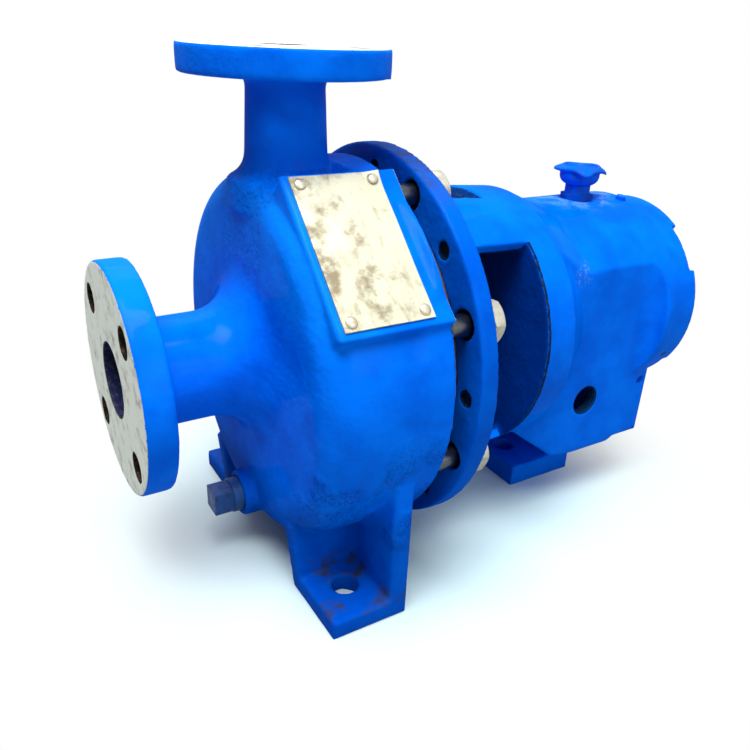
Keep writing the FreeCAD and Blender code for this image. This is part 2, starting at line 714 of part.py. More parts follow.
def cut_casing_holes(casing):
    """Bolt holes of the flanges, feet, rim, drain and nameplate."""
    diagonal = mm.suction_pitch_r * math.sqrt(0.5)
    hole = rod(casing, "x", (-mm.suction_reach - 1, diagonal, diagonal), mm.suction_flange_t + 2,
               mm.flange_hole_r, cut=True)
    around(casing, hole, mm.flange_hole_count)
    diagonal = mm.discharge_pitch_r * math.sqrt(0.5)
    top = mm.discharge_reach - mm.discharge_flange_t - 1
    hole = rod(casing, "z", (diagonal, diagonal, top), mm.discharge_flange_t + 2,
               mm.flange_hole_r, cut=True)
    around(casing, hole, mm.flange_hole_count, "Z_Axis")
    for side in (-1, 1):
        at = (0, side * mm.foot_spread / 2, -mm.shaft_height - 1)
        rod(casing, "z", at, mm.foot_t + 2, mm.foot_hole_r, cut=True)
    y, z = polar(mm.bolt_pitch_r, mm.bolt_first)
    hole = rod(casing, "x", (mm.casing_back_x - mm.bolt_depth, y, z), mm.bolt_depth + 1, mm.bolt_r, cut=True)
    around(casing, hole, mm.bolt_count)
    boss = -mm.lobe_front_x - mm.drain_boss_l
    rod(casing, "x", (boss - 1, 0, -mm.drain_drop), mm.drain_boss_l + 4, mm.drain_thread_r, cut=True)
    rod(casing, "x", (boss, 0, -mm.drain_drop), mm.lobe_front_x + mm.drain_boss_l - 10, mm.drain_way_r, cut=True)
    for x, along in rivet_places():
        y, z = on_pad(mm.pad_r - mm.rivet_l + mm.plate_t, along)
        rod(casing, PAD_TURN, (x, y, z), mm.rivet_l, mm.rivet_r, cut=True)


def rivet_places():
    """The four corners of the nameplate, as x and the distance along the pad."""
    front = mm.rivet_inset - mm.plate_front_x
    low = mm.rivet_inset - mm.plate_low
    for x in (front, front + mm.plate_w - 2 * mm.rivet_inset):
        for along in (low, low + mm.plate_h - 2 * mm.rivet_inset):
            yield x, along


def pad_place(x, face, along):
    y, z = on_pad(face, along)
    return x, y, z + mm.shaft_height


def make_nameplate():
    plate = primitive("Box", pad_place(-mm.plate_front_x, mm.pad_r, -mm.plate_low), PAD_TURN,
                      Length=mm.plate_w, Width=mm.plate_h, Height=mm.plate_t)
    holes = []
    rivets = []
    for x, along in rivet_places():
        at = pad_place(x, mm.pad_r - mm.rivet_l + mm.plate_t, along)
        holes.append(primitive("Cylinder", at, PAD_TURN, Radius=mm.rivet_r, Height=mm.rivet_l + 1))
        shank = primitive("Cylinder", at, PAD_TURN, Radius=mm.rivet_r, Height=mm.rivet_l)
        head = primitive("Cone", pad_place(x, mm.pad_r + mm.plate_t, along), PAD_TURN,
                         Radius1=mm.rivet_head_r, Radius2=mm.rivet_head_r / 2, Height=mm.rivet_head_h)
        rivets.append(joined([shank, head]))
    node(drilled(plate, joined(holes)), "nameplate")
    group("nameplate_rivets", rivets)


# Rear cover, gland and mechanical seal

def make_cover():
    cover = new_body("rear_cover")
    seat = mm.gasket_seat_x + mm.gasket_t
    spigot_r = mm.mouth_r - mm.cover_fit
    rim_r = mm.register_r - mm.cover_fit
    rim_back = mm.ring_front_x + mm.register_depth
    web_back = mm.cover_front_x + mm.cover_web_t
    turn(cover, [
        (mm.cover_front_x, mm.throat_r),
        (mm.cover_front_x, spigot_r),
        (seat, spigot_r),
        (seat, rim_r),
        (rim_back, rim_r),
        (rim_back, rim_r - mm.cover_rim_t),
        (web_back, rim_r - mm.cover_rim_t),
        (web_back, mm.chamber_outer_r),
        (mm.chamber_back_x, mm.chamber_outer_r),
        (mm.chamber_back_x, mm.chamber_r),
        (mm.chamber_front_x, mm.chamber_r),
        (mm.chamber_front_x, mm.throat_r),
    ])
    y, z = polar(mm.stud_pitch_r, mm.stud_first)
    at = (mm.chamber_back_x - mm.stud_depth, y, z)
    hole = rod(cover, "x", at, mm.stud_depth + 1, mm.stud_r, cut=True)
    around(cover, hole, mm.stud_count)
    seat_front = mm.gasket_seat_x
    turned("casing_gasket", [
        (seat_front, mm.mouth_r + 0.5),
        (seat_front, rim_r),
        (seat, rim_r),
        (seat, mm.mouth_r + 0.5),
    ])


def make_gland():
    gland = new_body("seal_gland")
    front = mm.chamber_back_x + mm.gland_gasket_t
    pilot = mm.chamber_back_x - mm.gland_pilot_l
    seat_back = pilot + mm.seat_l
    back = front + mm.gland_t
    turn(gland, [
        (pilot, mm.seat_r),
        (pilot, mm.chamber_r - mm.cover_fit),
        (front, mm.chamber_r - mm.cover_fit),
        (front, mm.chamber_outer_r),
        (back - 2, mm.chamber_outer_r),
        (back, mm.chamber_outer_r - 2),
        (back, mm.seat_bore_r),
        (seat_back, mm.seat_bore_r),
        (seat_back, mm.seat_r),
    ])
    y, z = polar(mm.stud_pitch_r, mm.stud_first)
    hole = rod(gland, "x", (front - 1, y, z), mm.gland_t + 2, mm.stud_r, cut=True)
    around(gland, hole, mm.stud_count)
    turned("gland_gasket", [
        (mm.chamber_back_x, mm.chamber_r),
        (mm.chamber_back_x, mm.chamber_r + 3),
        (front, mm.chamber_r + 3),
        (front, mm.chamber_r),
    ])
    studs = []
    nuts = []
    for index in range(int(mm.stud_count.number)):
        angle = angle_of(mm.stud_first, index, mm.stud_count)
        y, z = polar(mm.stud_pitch_r, angle)
        z = z + mm.shaft_height
        start = mm.chamber_back_x - mm.stud_depth
        length = back + mm.stud_nut_h + mm.stud_spare - start
        studs.append(primitive("Cylinder", (start, y, z), TURNS["x"], Radius=mm.stud_r, Height=length))
        bore = primitive("Cylinder", (back, y, z), TURNS["x"], Radius=mm.stud_r, Height=mm.stud_nut_h)
        nuts.append(drilled(hexagon((back, y, z), "x", mm.stud_nut_flat, mm.stud_nut_h), bore))
    group("gland_studs", studs)
    group("gland_nuts", nuts)
    turned("seal_stationary_face", [
        (pilot, mm.seat_bore_r),
        (pilot, mm.seat_r),
        (seat_back, mm.seat_r),
        (seat_back, mm.seat_bore_r),
    ])
    face_back = pilot - mm.seal_face_gap
    face_front = face_back - mm.seal_face_l
    body_front = face_front - mm.seal_body_l
    turned("seal_rotating_face", [
        (face_front, mm.sleeve_r),
        (face_front, mm.seal_face_r),
        (face_back - 2, mm.seal_face_r),
        (face_back - 2, mm.seat_r - 1.5),
        (face_back, mm.seat_r - 1.5),
        (face_back, mm.sleeve_r),
    ])
    turned("seal_drive_collar", [
        (body_front, mm.sleeve_r),
        (body_front, mm.seal_body_r - 1),
        (body_front + 1, mm.seal_body_r),
        (face_front, mm.seal_body_r),
        (face_front, mm.sleeve_r),
    ])


# Impeller and what turns with the shaft

def make_impeller():
    impeller = new_body("impeller")
    shroud_back = mm.shroud_front_x + mm.shroud_t
    hub_back = mm.cover_front_x - mm.impeller_gasket_t
    nose = -mm.impeller_nose_x
    turn(impeller, [
        (nose, 0),
        (nose + 4.5, 8, (4.5 ** 2 + 8 ** 2) / 9, -1),
        (nose + 13, 13.5),
        (mm.shroud_front_x, mm.impeller_hub_r + 12, 26, 1),
        (mm.shroud_front_x, mm.impeller_r),
        (shroud_back, mm.impeller_r),
        (shroud_back, mm.impeller_hub_r),
        (hub_back, mm.impeller_hub_r),
        (hub_back, 0),
    ])
    vane_front = -mm.front_wall_x + mm.impeller_gap
    vane = add_vane(impeller, vane_front, mm.shroud_front_x + 1)
    around(impeller, vane, mm.vane_count)
    rib = brick(impeller, (shroud_back - 1, -mm.rib_w / 2, mm.impeller_hub_r + 5),
                (shroud_back + mm.rib_h, mm.rib_w / 2, mm.impeller_r - 2))
    around(impeller, rib, mm.vane_count)
    rod(impeller, "x", (-mm.shaft_nose_x, 0, 0), mm.cover_front_x + mm.shaft_nose_x, mm.shaft_nose_r, cut=True)
    turned("impeller_gasket", [
        (hub_back, mm.sleeve_bore_r - 3),
        (hub_back, mm.impeller_hub_r),
        (mm.cover_front_x, mm.impeller_hub_r),
        (mm.cover_front_x, mm.sleeve_bore_r - 3),
    ])


def add_vane(impeller, front, back):
    """One backward-curved vane: two arcs about one centre, trimmed at the hub and the rim."""
    sketch = new_sketch(impeller, "YZ_Plane", (0, 0, front))
    centre = FreeCAD.Vector(0, mm.vane_centre_r.number, 0)
    tip_r = mm.impeller_r.number - 0.4
    root_r = mm.vane_inner_r.number
    arcs = [mm.vane_bend_r - mm.vane_t / 2, mm.vane_bend_r + mm.vane_t / 2]
    normal = FreeCAD.Vector(0, 0, 1)
    ends = []
    for arc in arcs:
        angles = [meeting_angle(mm.vane_centre_r.number, arc.number, reach) for reach in (root_r, tip_r)]
        sketch.addGeometry(Part.ArcOfCircle(Part.Circle(centre, normal, arc.number), *angles), False)
        ends.append([centre + FreeCAD.Vector(math.cos(a), math.sin(a), 0) * arc.number for a in angles])
    for side in (0, 1):
        sketch.addGeometry(Part.LineSegment(ends[0][side], ends[1][side]), False)
    link = Sketcher.Constraint
    sketch.addConstraint([
        link("Coincident", 2, 1, 0, 1),
        link("Coincident", 2, 2, 1, 1),
        link("Coincident", 3, 1, 0, 2),
        link("Coincident", 3, 2, 1, 2),
        link("Coincident", 0, 3, 1, 3),
        link("DistanceX", -1, 1, 0, 3, 0.0),
    ])
    rules = [("centre", link("DistanceY", -1, 1, 0, 3, mm.vane_centre_r.number), mm.vane_centre_r)]
    for index, arc in enumerate(arcs):
        rules.append((f"bend{index}", link("Radius", index, arc.number), arc))
        rules.append((f"root{index}", link("Distance", -1, 1, index, 1, root_r), mm.vane_inner_r))
        rules.append((f"tip{index}", link("Distance", -1, 1, index, 2, tip_r), mm.impeller_r - 0.4))
    for name, rule, amount in rules:
        number = sketch.addConstraint(rule)
        sketch.renameConstraint(number, name)
        drive(sketch, f"Constraints.{name}", amount)
    feature = add(impeller, "Pad")
    feature.Profile = sketch
    drive(feature, "Length", back - front)
    return feature


def meeting_angle(centre_r, bend_r, reach):
    """Angle on an arc about (0, centre_r) at which it is the given reach from the shaft."""
    sine = (reach ** 2 - centre_r ** 2 - bend_r ** 2) / (2 * centre_r * bend_r)
    return math.asin(sine)


def make_shaft():
    shaft = new_body("shaft")
    shoulder = mm.inboard_x + mm.inboard_w
    seat = mm.inboard_x - 0.6
    outer = mm.thrust_x + mm.thrust_w + mm.washer_t + mm.nut_l
    coupling = mm.shaft_end_x - mm.coupling_l
    turn(shaft, [
        (-mm.shaft_nose_x, 0),
        (-mm.shaft_nose_x, mm.shaft_nose_r),
        (mm.cover_front_x, mm.shaft_nose_r),
        (mm.cover_front_x, mm.sleeve_bore_r),
        (mm.sleeve_end_x, mm.sleeve_bore_r),
        (mm.sleeve_end_x, mm.shaft_seal_r),
        (seat, mm.shaft_seal_r),
        (seat, mm.inboard_bore_r),
        (shoulder, mm.inboard_bore_r),
        (shoulder, mm.shaft_shoulder_r),
        (shoulder + mm.shaft_shoulder_l, mm.shaft_shoulder_r),
        (shoulder + mm.shaft_shoulder_l + 3, mm.shaft_middle_r),
        (mm.thrust_x, mm.shaft_middle_r),
        (mm.thrust_x, mm.thrust_bore_r),
        (outer, mm.thrust_bore_r),
        (outer, mm.shaft_outer_seal_r),
        (coupling, mm.shaft_outer_seal_r),
        (coupling, mm.coupling_r),
        (mm.shaft_end_x - 1, mm.coupling_r),
        (mm.shaft_end_x, mm.coupling_r - 1),
        (mm.shaft_end_x, 0),
    ])
    key_end = mm.shaft_end_x - mm.key_setback
    brick(shaft, (key_end - mm.key_l, -mm.key_w / 2, mm.coupling_r - mm.key_w / 2),
          (key_end, mm.key_w / 2, mm.coupling_r + 1), cut=True)
    turned("shaft_sleeve", [
        (mm.cover_front_x, mm.sleeve_bore_r),
        (mm.cover_front_x, mm.sleeve_r),
        (mm.sleeve_end_x - 1, mm.sleeve_r),
        (mm.sleeve_end_x, mm.sleeve_r - 1),
        (mm.sleeve_end_x, mm.sleeve_bore_r),
    ])
    deflector_back = mm.deflector_x + mm.deflector_l
    turned("deflector", [
        (mm.deflector_x, mm.shaft_seal_r),
        (mm.deflector_x, mm.shaft_seal_r + 5),
        (deflector_back - 3, mm.deflector_r),
        (deflector_back, mm.deflector_r),
        (deflector_back, mm.shaft_seal_r),
    ])


# Bearings

def ring_outlines(front, width, bore_r, outer_r, pitch_r, ball_r, rows):
    """The two rings of a ball bearing, with a ball groove under each row."""
    deep = ball_r + mm.race_gap
    land = ball_r * 0.6
    slope = ball_r * 0.92
    floor = ball_r * 0.45
    inner = [(front, bore_r), (front, pitch_r - land)]
    outer = [(front, outer_r), (front, pitch_r + land)]
    for row in rows:
        for corners, sign in ((inner, -1), (outer, 1)):
            corners.append((row - slope, pitch_r + sign * land))
            corners.append((row - floor, pitch_r + sign * deep))
            corners.append((row + floor, pitch_r + sign * deep))
            corners.append((row + slope, pitch_r + sign * land))
    back = front + width
    inner += [(back, pitch_r - land), (back, bore_r)]
    outer += [(back, pitch_r + land), (back, outer_r)]
    return inner, outer


def faceted_ball(at, radius):
    """A ball with flat facets, light enough to repeat: three octagonal prisms in common."""
    x, y, z = at
    radius = radius * mm.ball_flat
    reach = radius / math.cos(math.pi / 8)
    prisms = []
    for axis, start in (("x", (x - radius, y, z)), ("y", (x, y - radius, z)), ("z", (x, y, z - radius))):
        rotation = TURNS[axis].multiply(FreeCAD.Rotation(FreeCAD.Vector(0, 0, 1), 22.5))
        item = primitive("Prism", start, rotation, Circumradius=reach, Height=radius * 2)
        item.Polygon = 8
        prisms.append(item)
    common = doc.addObject("Part::MultiCommon", "ball")
    common.Shapes = prisms
    return common


def ball_cage(name, rows, pitch_r, ball_r, count):
    """The balls of a bearing with the thin ring cages that keep them apart."""
    pieces = []
    for row in rows:
        at = (row - ball_r * 0.45, 0, mm.shaft_height)
        outer = primitive("Cylinder", at, TURNS["x"], Radius=pitch_r + 0.9, Height=ball_r * 0.9)
        inner = primitive("Cylinder", at, TURNS["x"], Radius=pitch_r - 0.9, Height=ball_r * 0.9)
        pieces.append(drilled(outer, inner))
        for index in range(int(count.number)):
            y, z = polar(pitch_r, angle_of(as_size(0), index, count))
            pieces.append(faceted_ball((row, y, z + mm.shaft_height), ball_r))
    return pieces


def make_bearings():
    inboard_row = mm.inboard_x + mm.inboard_w / 2
    inner, outer = ring_outlines(mm.inboard_x, mm.inboard_w, mm.inboard_bore_r, mm.bearing_r,
                                 mm.inboard_pitch_r, mm.inboard_ball_r, [inboard_row])
    turned("inboard_bearing_inner_ring", inner)
    turned("inboard_bearing_outer_ring", outer)
    pieces = ball_cage("inboard", [inboard_row], mm.inboard_pitch_r, mm.inboard_ball_r, mm.inboard_ball_count)
    node(joined(pieces), "inboard_balls_and_cage")
    middle = mm.thrust_x + mm.thrust_w / 2
    rows = [middle - mm.thrust_row_x, middle + mm.thrust_row_x]
    inner, outer = ring_outlines(mm.thrust_x, mm.thrust_w, mm.thrust_bore_r, mm.bearing_r,
                                 mm.thrust_pitch_r, mm.thrust_ball_r, rows)
    turned("thrust_bearing_inner_ring", inner)
    turned("thrust_bearing_outer_ring", outer)
    halves = []
    for row in rows:
        halves.append(joined(ball_cage("thrust", [row], mm.thrust_pitch_r, mm.thrust_ball_r,
                                       mm.thrust_ball_count)))
    group("thrust_balls_and_cages", halves)
    washer = mm.thrust_x + mm.thrust_w
    turned("bearing_lock_washer", [
        (washer, mm.thrust_bore_r),
        (washer, mm.nut_r - 1),
        (washer + mm.washer_t, mm.nut_r - 1),
        (washer + mm.washer_t, mm.thrust_bore_r),
    ])
    nut = new_body("bearing_lock_nut")
    start = washer + mm.washer_t
    end = start + mm.nut_l
    turn(nut, [
        (start, mm.thrust_bore_r),
        (start, mm.nut_r),
        (end, mm.nut_r),
        (end, mm.thrust_bore_r),
    ])
    slot = brick(nut, (start - 1, -mm.nut_slot_w / 2, mm.nut_r - 2), (end + 1, mm.nut_slot_w / 2, mm.nut_r + 1),
                 cut=True)
    around(nut, slot, as_size(4))


def oil_seal(name, front, shaft_r, outer_r):
    """A lip seal: a cup pressed in its bore, with its lip just off the shaft."""
    lip = shaft_r + mm.seal_clear
    back = front + mm.oil_seal_l
    turned(name, [
        (front, lip),
        (front, outer_r),
        (back, outer_r),
        (back, outer_r - 1.6),
        (front + 1.8, outer_r - 1.6),
        (front + 1.8, lip + 1.6),
        (back - 1.5, lip + 1.2),
        (back - 1.5, lip),
    ])


# Bearing carrier: turned in its thread, it moves the whole rotor along the shaft line

def make_carrier():
    carrier = new_body("bearing_carrier")
    clip_front = mm.thrust_x - mm.clip_t
    bearing_back = mm.thrust_x + mm.thrust_w
    rim_front = mm.housing_back_x + mm.carrier_gap
    back = mm.carrier_back_x
    seal_front = back - mm.oil_seal_l - 1
    ring_back = mm.carrier_ring_x + mm.carrier_ring_w
    groove_r = mm.carrier_pilot_r - 2.6
    wall_r = mm.nut_r + 8.5
    lip_r = mm.shaft_outer_seal_r + 2.5
    boss_r = mm.outboard_seal_r + 10
    dish = back - mm.notch_depth
    rim_inner = mm.carrier_r - mm.carrier_rim_t
    turn(carrier, [
        (mm.carrier_front_x, mm.bearing_r),
        (mm.carrier_front_x, mm.carrier_pilot_r),
        (mm.carrier_ring_x, mm.carrier_pilot_r),
        (mm.carrier_ring_x, groove_r),
        (ring_back, groove_r),
        (ring_back, mm.carrier_pilot_r),
        (mm.carrier_thread_x, mm.carrier_pilot_r),
        (mm.carrier_thread_x, mm.carrier_thread_r),
        (rim_front, mm.carrier_thread_r),
        (rim_front, mm.carrier_r),
        (back - 1, mm.carrier_r),
        (back, mm.carrier_r - 1),
        (back, rim_inner),
        (dish, rim_inner),
        (dish, boss_r + 3),
        (back, boss_r),
        (back, mm.outboard_seal_r),
        (seal_front, mm.outboard_seal_r),
        (seal_front, lip_r),
        (seal_front - 3, lip_r),
        (seal_front - 3, wall_r),
        (bearing_back, wall_r),
        (bearing_back, mm.bearing_r),
        (mm.thrust_x, mm.bearing_r),
        (mm.thrust_x, mm.clip_r),
        (clip_front, mm.clip_r),
        (clip_front, mm.bearing_r),
    ])
    half = mm.notch_angle / 2
    inner = rim_inner - 4
    outer = mm.carrier_r + 6
    corners = []
    for reach, angle in ((inner, mm.notch_first - half), (outer, mm.notch_first - half),
                         (outer, mm.notch_first + half), (inner, mm.notch_first + half)):
        corners.append(polar(reach, angle))
    notch = extrude(carrier, "YZ_Plane", corners, mm.notch_depth + 1, start=dish, cut=True)
    around(carrier, notch, mm.notch_count)
    turned("carrier_o_ring", [
        (mm.carrier_ring_x, groove_r),
        (mm.carrier_ring_x, mm.carrier_pilot_r - 0.6),
        (mm.carrier_ring_x + 0.6, mm.carrier_pilot_r),
        (ring_back - 0.6, mm.carrier_pilot_r),
        (ring_back, mm.carrier_pilot_r - 0.6),
        (ring_back, groove_r),
    ])
    clip = new_body("bearing_retaining_ring")
    turn(clip, [
        (clip_front, mm.bearing_r - 4),
        (clip_front, mm.clip_r),
        (mm.thrust_x, mm.clip_r),
        (mm.thrust_x, mm.bearing_r - 4),
    ])
    brick(clip, (clip_front - 1, -4, 0), (mm.thrust_x + 1, 4, mm.clip_r + 2), cut=True)
    oil_seal("outboard_oil_seal", seal_front, mm.shaft_outer_seal_r, mm.outboard_seal_r)


# Bearing frame: adapter flange, windowed drum, bearing housing, sump and foot in one casting

def make_frame():
    frame = new_body("bearing_frame")
    turn(frame, [
        (mm.ring_front_x, 0),
        (mm.ring_front_x, mm.ring_r - 1),
        (mm.ring_front_x + 1, mm.ring_r),
        (mm.ring_back_x, mm.ring_r),
        (mm.ring_back_x, mm.drum_front_r),
        (mm.drum_wall_x, mm.drum_wall_r),
        (mm.drum_back_x, mm.drum_back_r),
        (mm.housing_front_x, mm.housing_r),
        (mm.housing_back_x - 2, mm.housing_r),
        (mm.housing_back_x, mm.housing_r - 2),
        (mm.housing_back_x, 0),
    ])
    cove = mm.housing_r - mm.flat_y
    for side in (-1, 1):
        extrude(frame, "XY_Plane", [
            (mm.drum_back_x, side * mm.flat_y),
            (mm.collar_x, side * mm.flat_y),
            (mm.collar_x + cove, side * (mm.flat_y + cove), cove, side),
            (mm.collar_x + cove, side * (mm.drum_front_r + 10)),
            (mm.drum_back_x, side * (mm.drum_front_r + 10)),
        ], 2 * mm.housing_r + 20, start=-mm.housing_r - 10, cut=True)
    turn(frame, [
        (mm.drum_wall_x, 0),
        (mm.drum_wall_x, mm.drum_wall_r - 1),
        (mm.drum_back_x, mm.drum_back_r),
        (mm.flat_start_x, mm.flat_y),
        (mm.flat_start_x, 0),
    ])
    add_sump(frame)
    add_frame_foot(frame)
    cut_adapter(frame)
    cut_housing(frame)
    cut_frame_ports(frame)
    return frame


def add_sump(frame):
    """The oil sump: a trough with round lower corners, its front sloping up to the drum."""
    corner = mm.sump_corner_r
    side = mm.flat_y
    keel = mm.sump_keel_drop
    extrude(frame, "YZ_Plane", [
        (-side, -30),
        (-side, corner - keel),
        (corner - side, -keel, corner, 1),
        (side - corner, -keel),
        (side, corner - keel, corner, 1),
        (side, -30),
    ], mm.housing_back_x - mm.sump_front_x, start=mm.sump_front_x)
    low = -mm.sump_keel_drop - 20
    extrude(frame, "XZ_Plane", [
        (mm.sump_front_x - 2, low),
        (mm.frame_foot_back_x + 4, low),
        (mm.frame_foot_back_x + 4, -mm.sump_keel_drop),
        (mm.frame_leg_front_x, -mm.sump_keel_drop),
        (mm.sump_slope_x, -mm.sump_drop),
        (mm.sump_front_x, -mm.sump_front_drop),
        (mm.sump_front_x - 2, -mm.sump_front_drop),
    ], 2 * mm.flat_y + 10, cut=True, both_ways=True)
    extrude(frame, "XZ_Plane", [
        (mm.frame_foot_back_x + 4, low),
        (mm.housing_back_x + 2, low),
        (mm.housing_back_x + 2, -mm.sump_drop),
        (mm.frame_foot_back_x + 8, -mm.sump_drop),
        (mm.frame_foot_back_x + 4, -mm.sump_keel_drop),
    ], 2 * mm.flat_y + 10, cut=True, both_ways=True)


def add_frame_foot(frame):
    """The foot plate under the sump, with a leg behind the bolt hole."""
    ground = -mm.shaft_height
    brick(frame, (mm.frame_foot_front_x, -mm.frame_foot_y, ground),
          (mm.frame_foot_back_x, mm.frame_foot_y, ground + mm.frame_foot_t))
    brick(frame, (mm.frame_leg_front_x, -mm.frame_foot_y, ground),
          (mm.frame_foot_back_x, mm.frame_foot_y, -mm.sump_drop + 2))
    hole = (mm.foot_span, 0, ground - 1)
    rod(frame, "z", hole, mm.frame_foot_t + 2, mm.foot_hole_r, cut=True)


def cut_adapter(frame):
    """Cover register, room round the seal, side windows and the holes of the flange."""
    register_back = mm.ring_front_x + mm.register_depth
    inner_r = mm.drum_front_r - mm.drum_t
    turn(frame, [
        (mm.ring_front_x - 1, 0),
        (mm.ring_front_x - 1, mm.register_r),
        (register_back, mm.register_r),
        (register_back, inner_r),
        (mm.drum_wall_x, inner_r - 3),
        (mm.drum_wall_x, 0),
    ], cut=True)
    near = inner_r - 40
    far = mm.ring_r + 10
    spread = tan_of(mm.window_angle)
    for side in (-1, 1):
        extrude(frame, "YZ_Plane", [
            (side * near, -near * spread),
            (side * far, -far * spread),
            (side * far, far * spread),
            (side * near, near * spread),
        ], mm.drum_wall_x - mm.ring_back_x, start=mm.ring_back_x, cut=True)
    y, z = polar(mm.bolt_pitch_r, mm.bolt_first)
    hole = rod(frame, "x", (mm.ring_front_x - 1, y, z), mm.ring_back_x - mm.ring_front_x + 2,
               mm.bolt_hole_r, cut=True)
    around(frame, hole, mm.bolt_count)
    scallop = add(frame, "SubtractiveCone")
    put(scallop, (mm.ring_back_x, y, z), TURNS["x"])
    drive(scallop, "Radius1", mm.scallop_r)
    drive(scallop, "Radius2", mm.scallop_r - 1.5)
    drive(scallop, "Height", mm.scallop_end_x - mm.ring_back_x)
    around(frame, scallop, mm.bolt_count)
    y, z = polar(mm.bolt_pitch_r, mm.bolt_first * 2)
    hole = rod(frame, "x", (mm.ring_front_x - 1, y, z), mm.ring_back_x - mm.ring_front_x + 2,
               mm.jack_r, cut=True)
    around(frame, hole, mm.bolt_count)


def cut_housing(frame):
    """Oil seal bore, inboard bearing bore, oil room and the bore of the carrier."""
    seal_back = mm.inboard_x - 1
    bore = mm.bearing_r + mm.bearing_fit
    boss_end = mm.inboard_x + mm.inboard_w + 3
    turn(frame, [
        (mm.drum_wall_x - 1, 0),
        (mm.drum_wall_x - 1, mm.inboard_seal_r),
        (seal_back, mm.inboard_seal_r),
        (seal_back, bore),
        (boss_end, bore),
        (boss_end, mm.bearing_boss_r),
        (mm.cavity_front_x, mm.bearing_boss_r),
        (mm.cavity_front_x, mm.cavity_r - 5),
        (mm.cavity_front_x + 8, mm.cavity_r),
        (mm.cavity_back_x, mm.cavity_r),
        (mm.cavity_back_x, mm.carrier_pilot_r + mm.carrier_fit),
        (mm.carrier_thread_x - 1.5, mm.carrier_pilot_r + mm.carrier_fit),
        (mm.carrier_thread_x - 1.5, mm.carrier_thread_r + mm.carrier_fit),
        (mm.housing_back_x + 1, mm.carrier_thread_r + mm.carrier_fit),
        (mm.housing_back_x + 1, 0),
    ], cut=True)
    floor = -mm.sump_drop + mm.sump_wall
    side = mm.flat_y - mm.sump_wall
    brick(frame, (mm.sump_slope_x, -side, floor), (mm.cavity_back_x, side, -20), cut=True)


def cut_frame_ports(frame):
    """Oiler port, sight glass, filler, sump drain and the lock screws of the carrier."""
    depth = mm.sump_wall + 3
    at = (mm.oiler_x, -mm.flat_y - 1, -mm.oiler_drop)
    rod(frame, "y", at, depth, mm.oiler_r, cut=True)
    at = (mm.oiler_x, mm.flat_y + 1, -mm.oiler_drop)
    rod(frame, "-y", at, depth, mm.glass_r, cut=True)
    rod(frame, "z", (mm.filler_x, 0, mm.filler_seat), 10, mm.filler_spot_r, cut=True)
    rod(frame, "z", (mm.filler_x, 0, mm.carrier_pilot_r - 2), 26, mm.filler_thread_r, cut=True)
    at = (mm.housing_back_x + 1, 0, -mm.sump_plug_drop)
    rod(frame, "-x", at, mm.housing_back_x + 1 - mm.cavity_back_x, mm.sump_plug_r, cut=True)
    for index in range(int(mm.lock_screw_count.number)):
        angle = angle_of(mm.lock_screw_first, index, mm.lock_screw_count)
        y, z = polar(mm.carrier_thread_r - 1, angle)
        rod(frame, outward(angle), (mm.lock_screw_x, y, z), 20, mm.lock_screw_r, cut=True)


def outward(angle):
    """The turn that points a rod away from the shaft at an angle above the near side."""
    return FreeCAD.Rotation(FreeCAD.Vector(1, 0, 0), 90 - angle.number)


# Fasteners and fittings on the frame

def make_frame_fasteners():
    bolts = []
    for index in range(int(mm.bolt_count.number)):
        angle = angle_of(mm.bolt_first, index, mm.bolt_count)
        y, z = polar(mm.bolt_pitch_r, angle)
        z = z + mm.shaft_height
        start = mm.casing_back_x - mm.bolt_depth
        shank = primitive("Cylinder", (start, y, z), TURNS["x"],
                          Radius=mm.bolt_r, Height=mm.ring_back_x - start)
        head = hexagon((mm.ring_back_x, y, z), "x", mm.bolt_flat, mm.bolt_head_h, 17 * index)
        bolts.append(joined([shank, head]))
    group("casing_bolts", bolts)
    screws = []
    for index in range(int(mm.lock_screw_count.number)):
        angle = angle_of(mm.lock_screw_first, index, mm.lock_screw_count)
        inner = mm.carrier_thread_r + 0.5
        y, z = polar(inner, angle)
        at = (mm.lock_screw_x, y, z + mm.shaft_height)
        length = mm.housing_r + mm.lock_screw_proud - inner
        screws.append(primitive("Cylinder", at, outward(angle), Radius=mm.lock_screw_r, Height=length))
    group("carrier_lock_screws", screws)


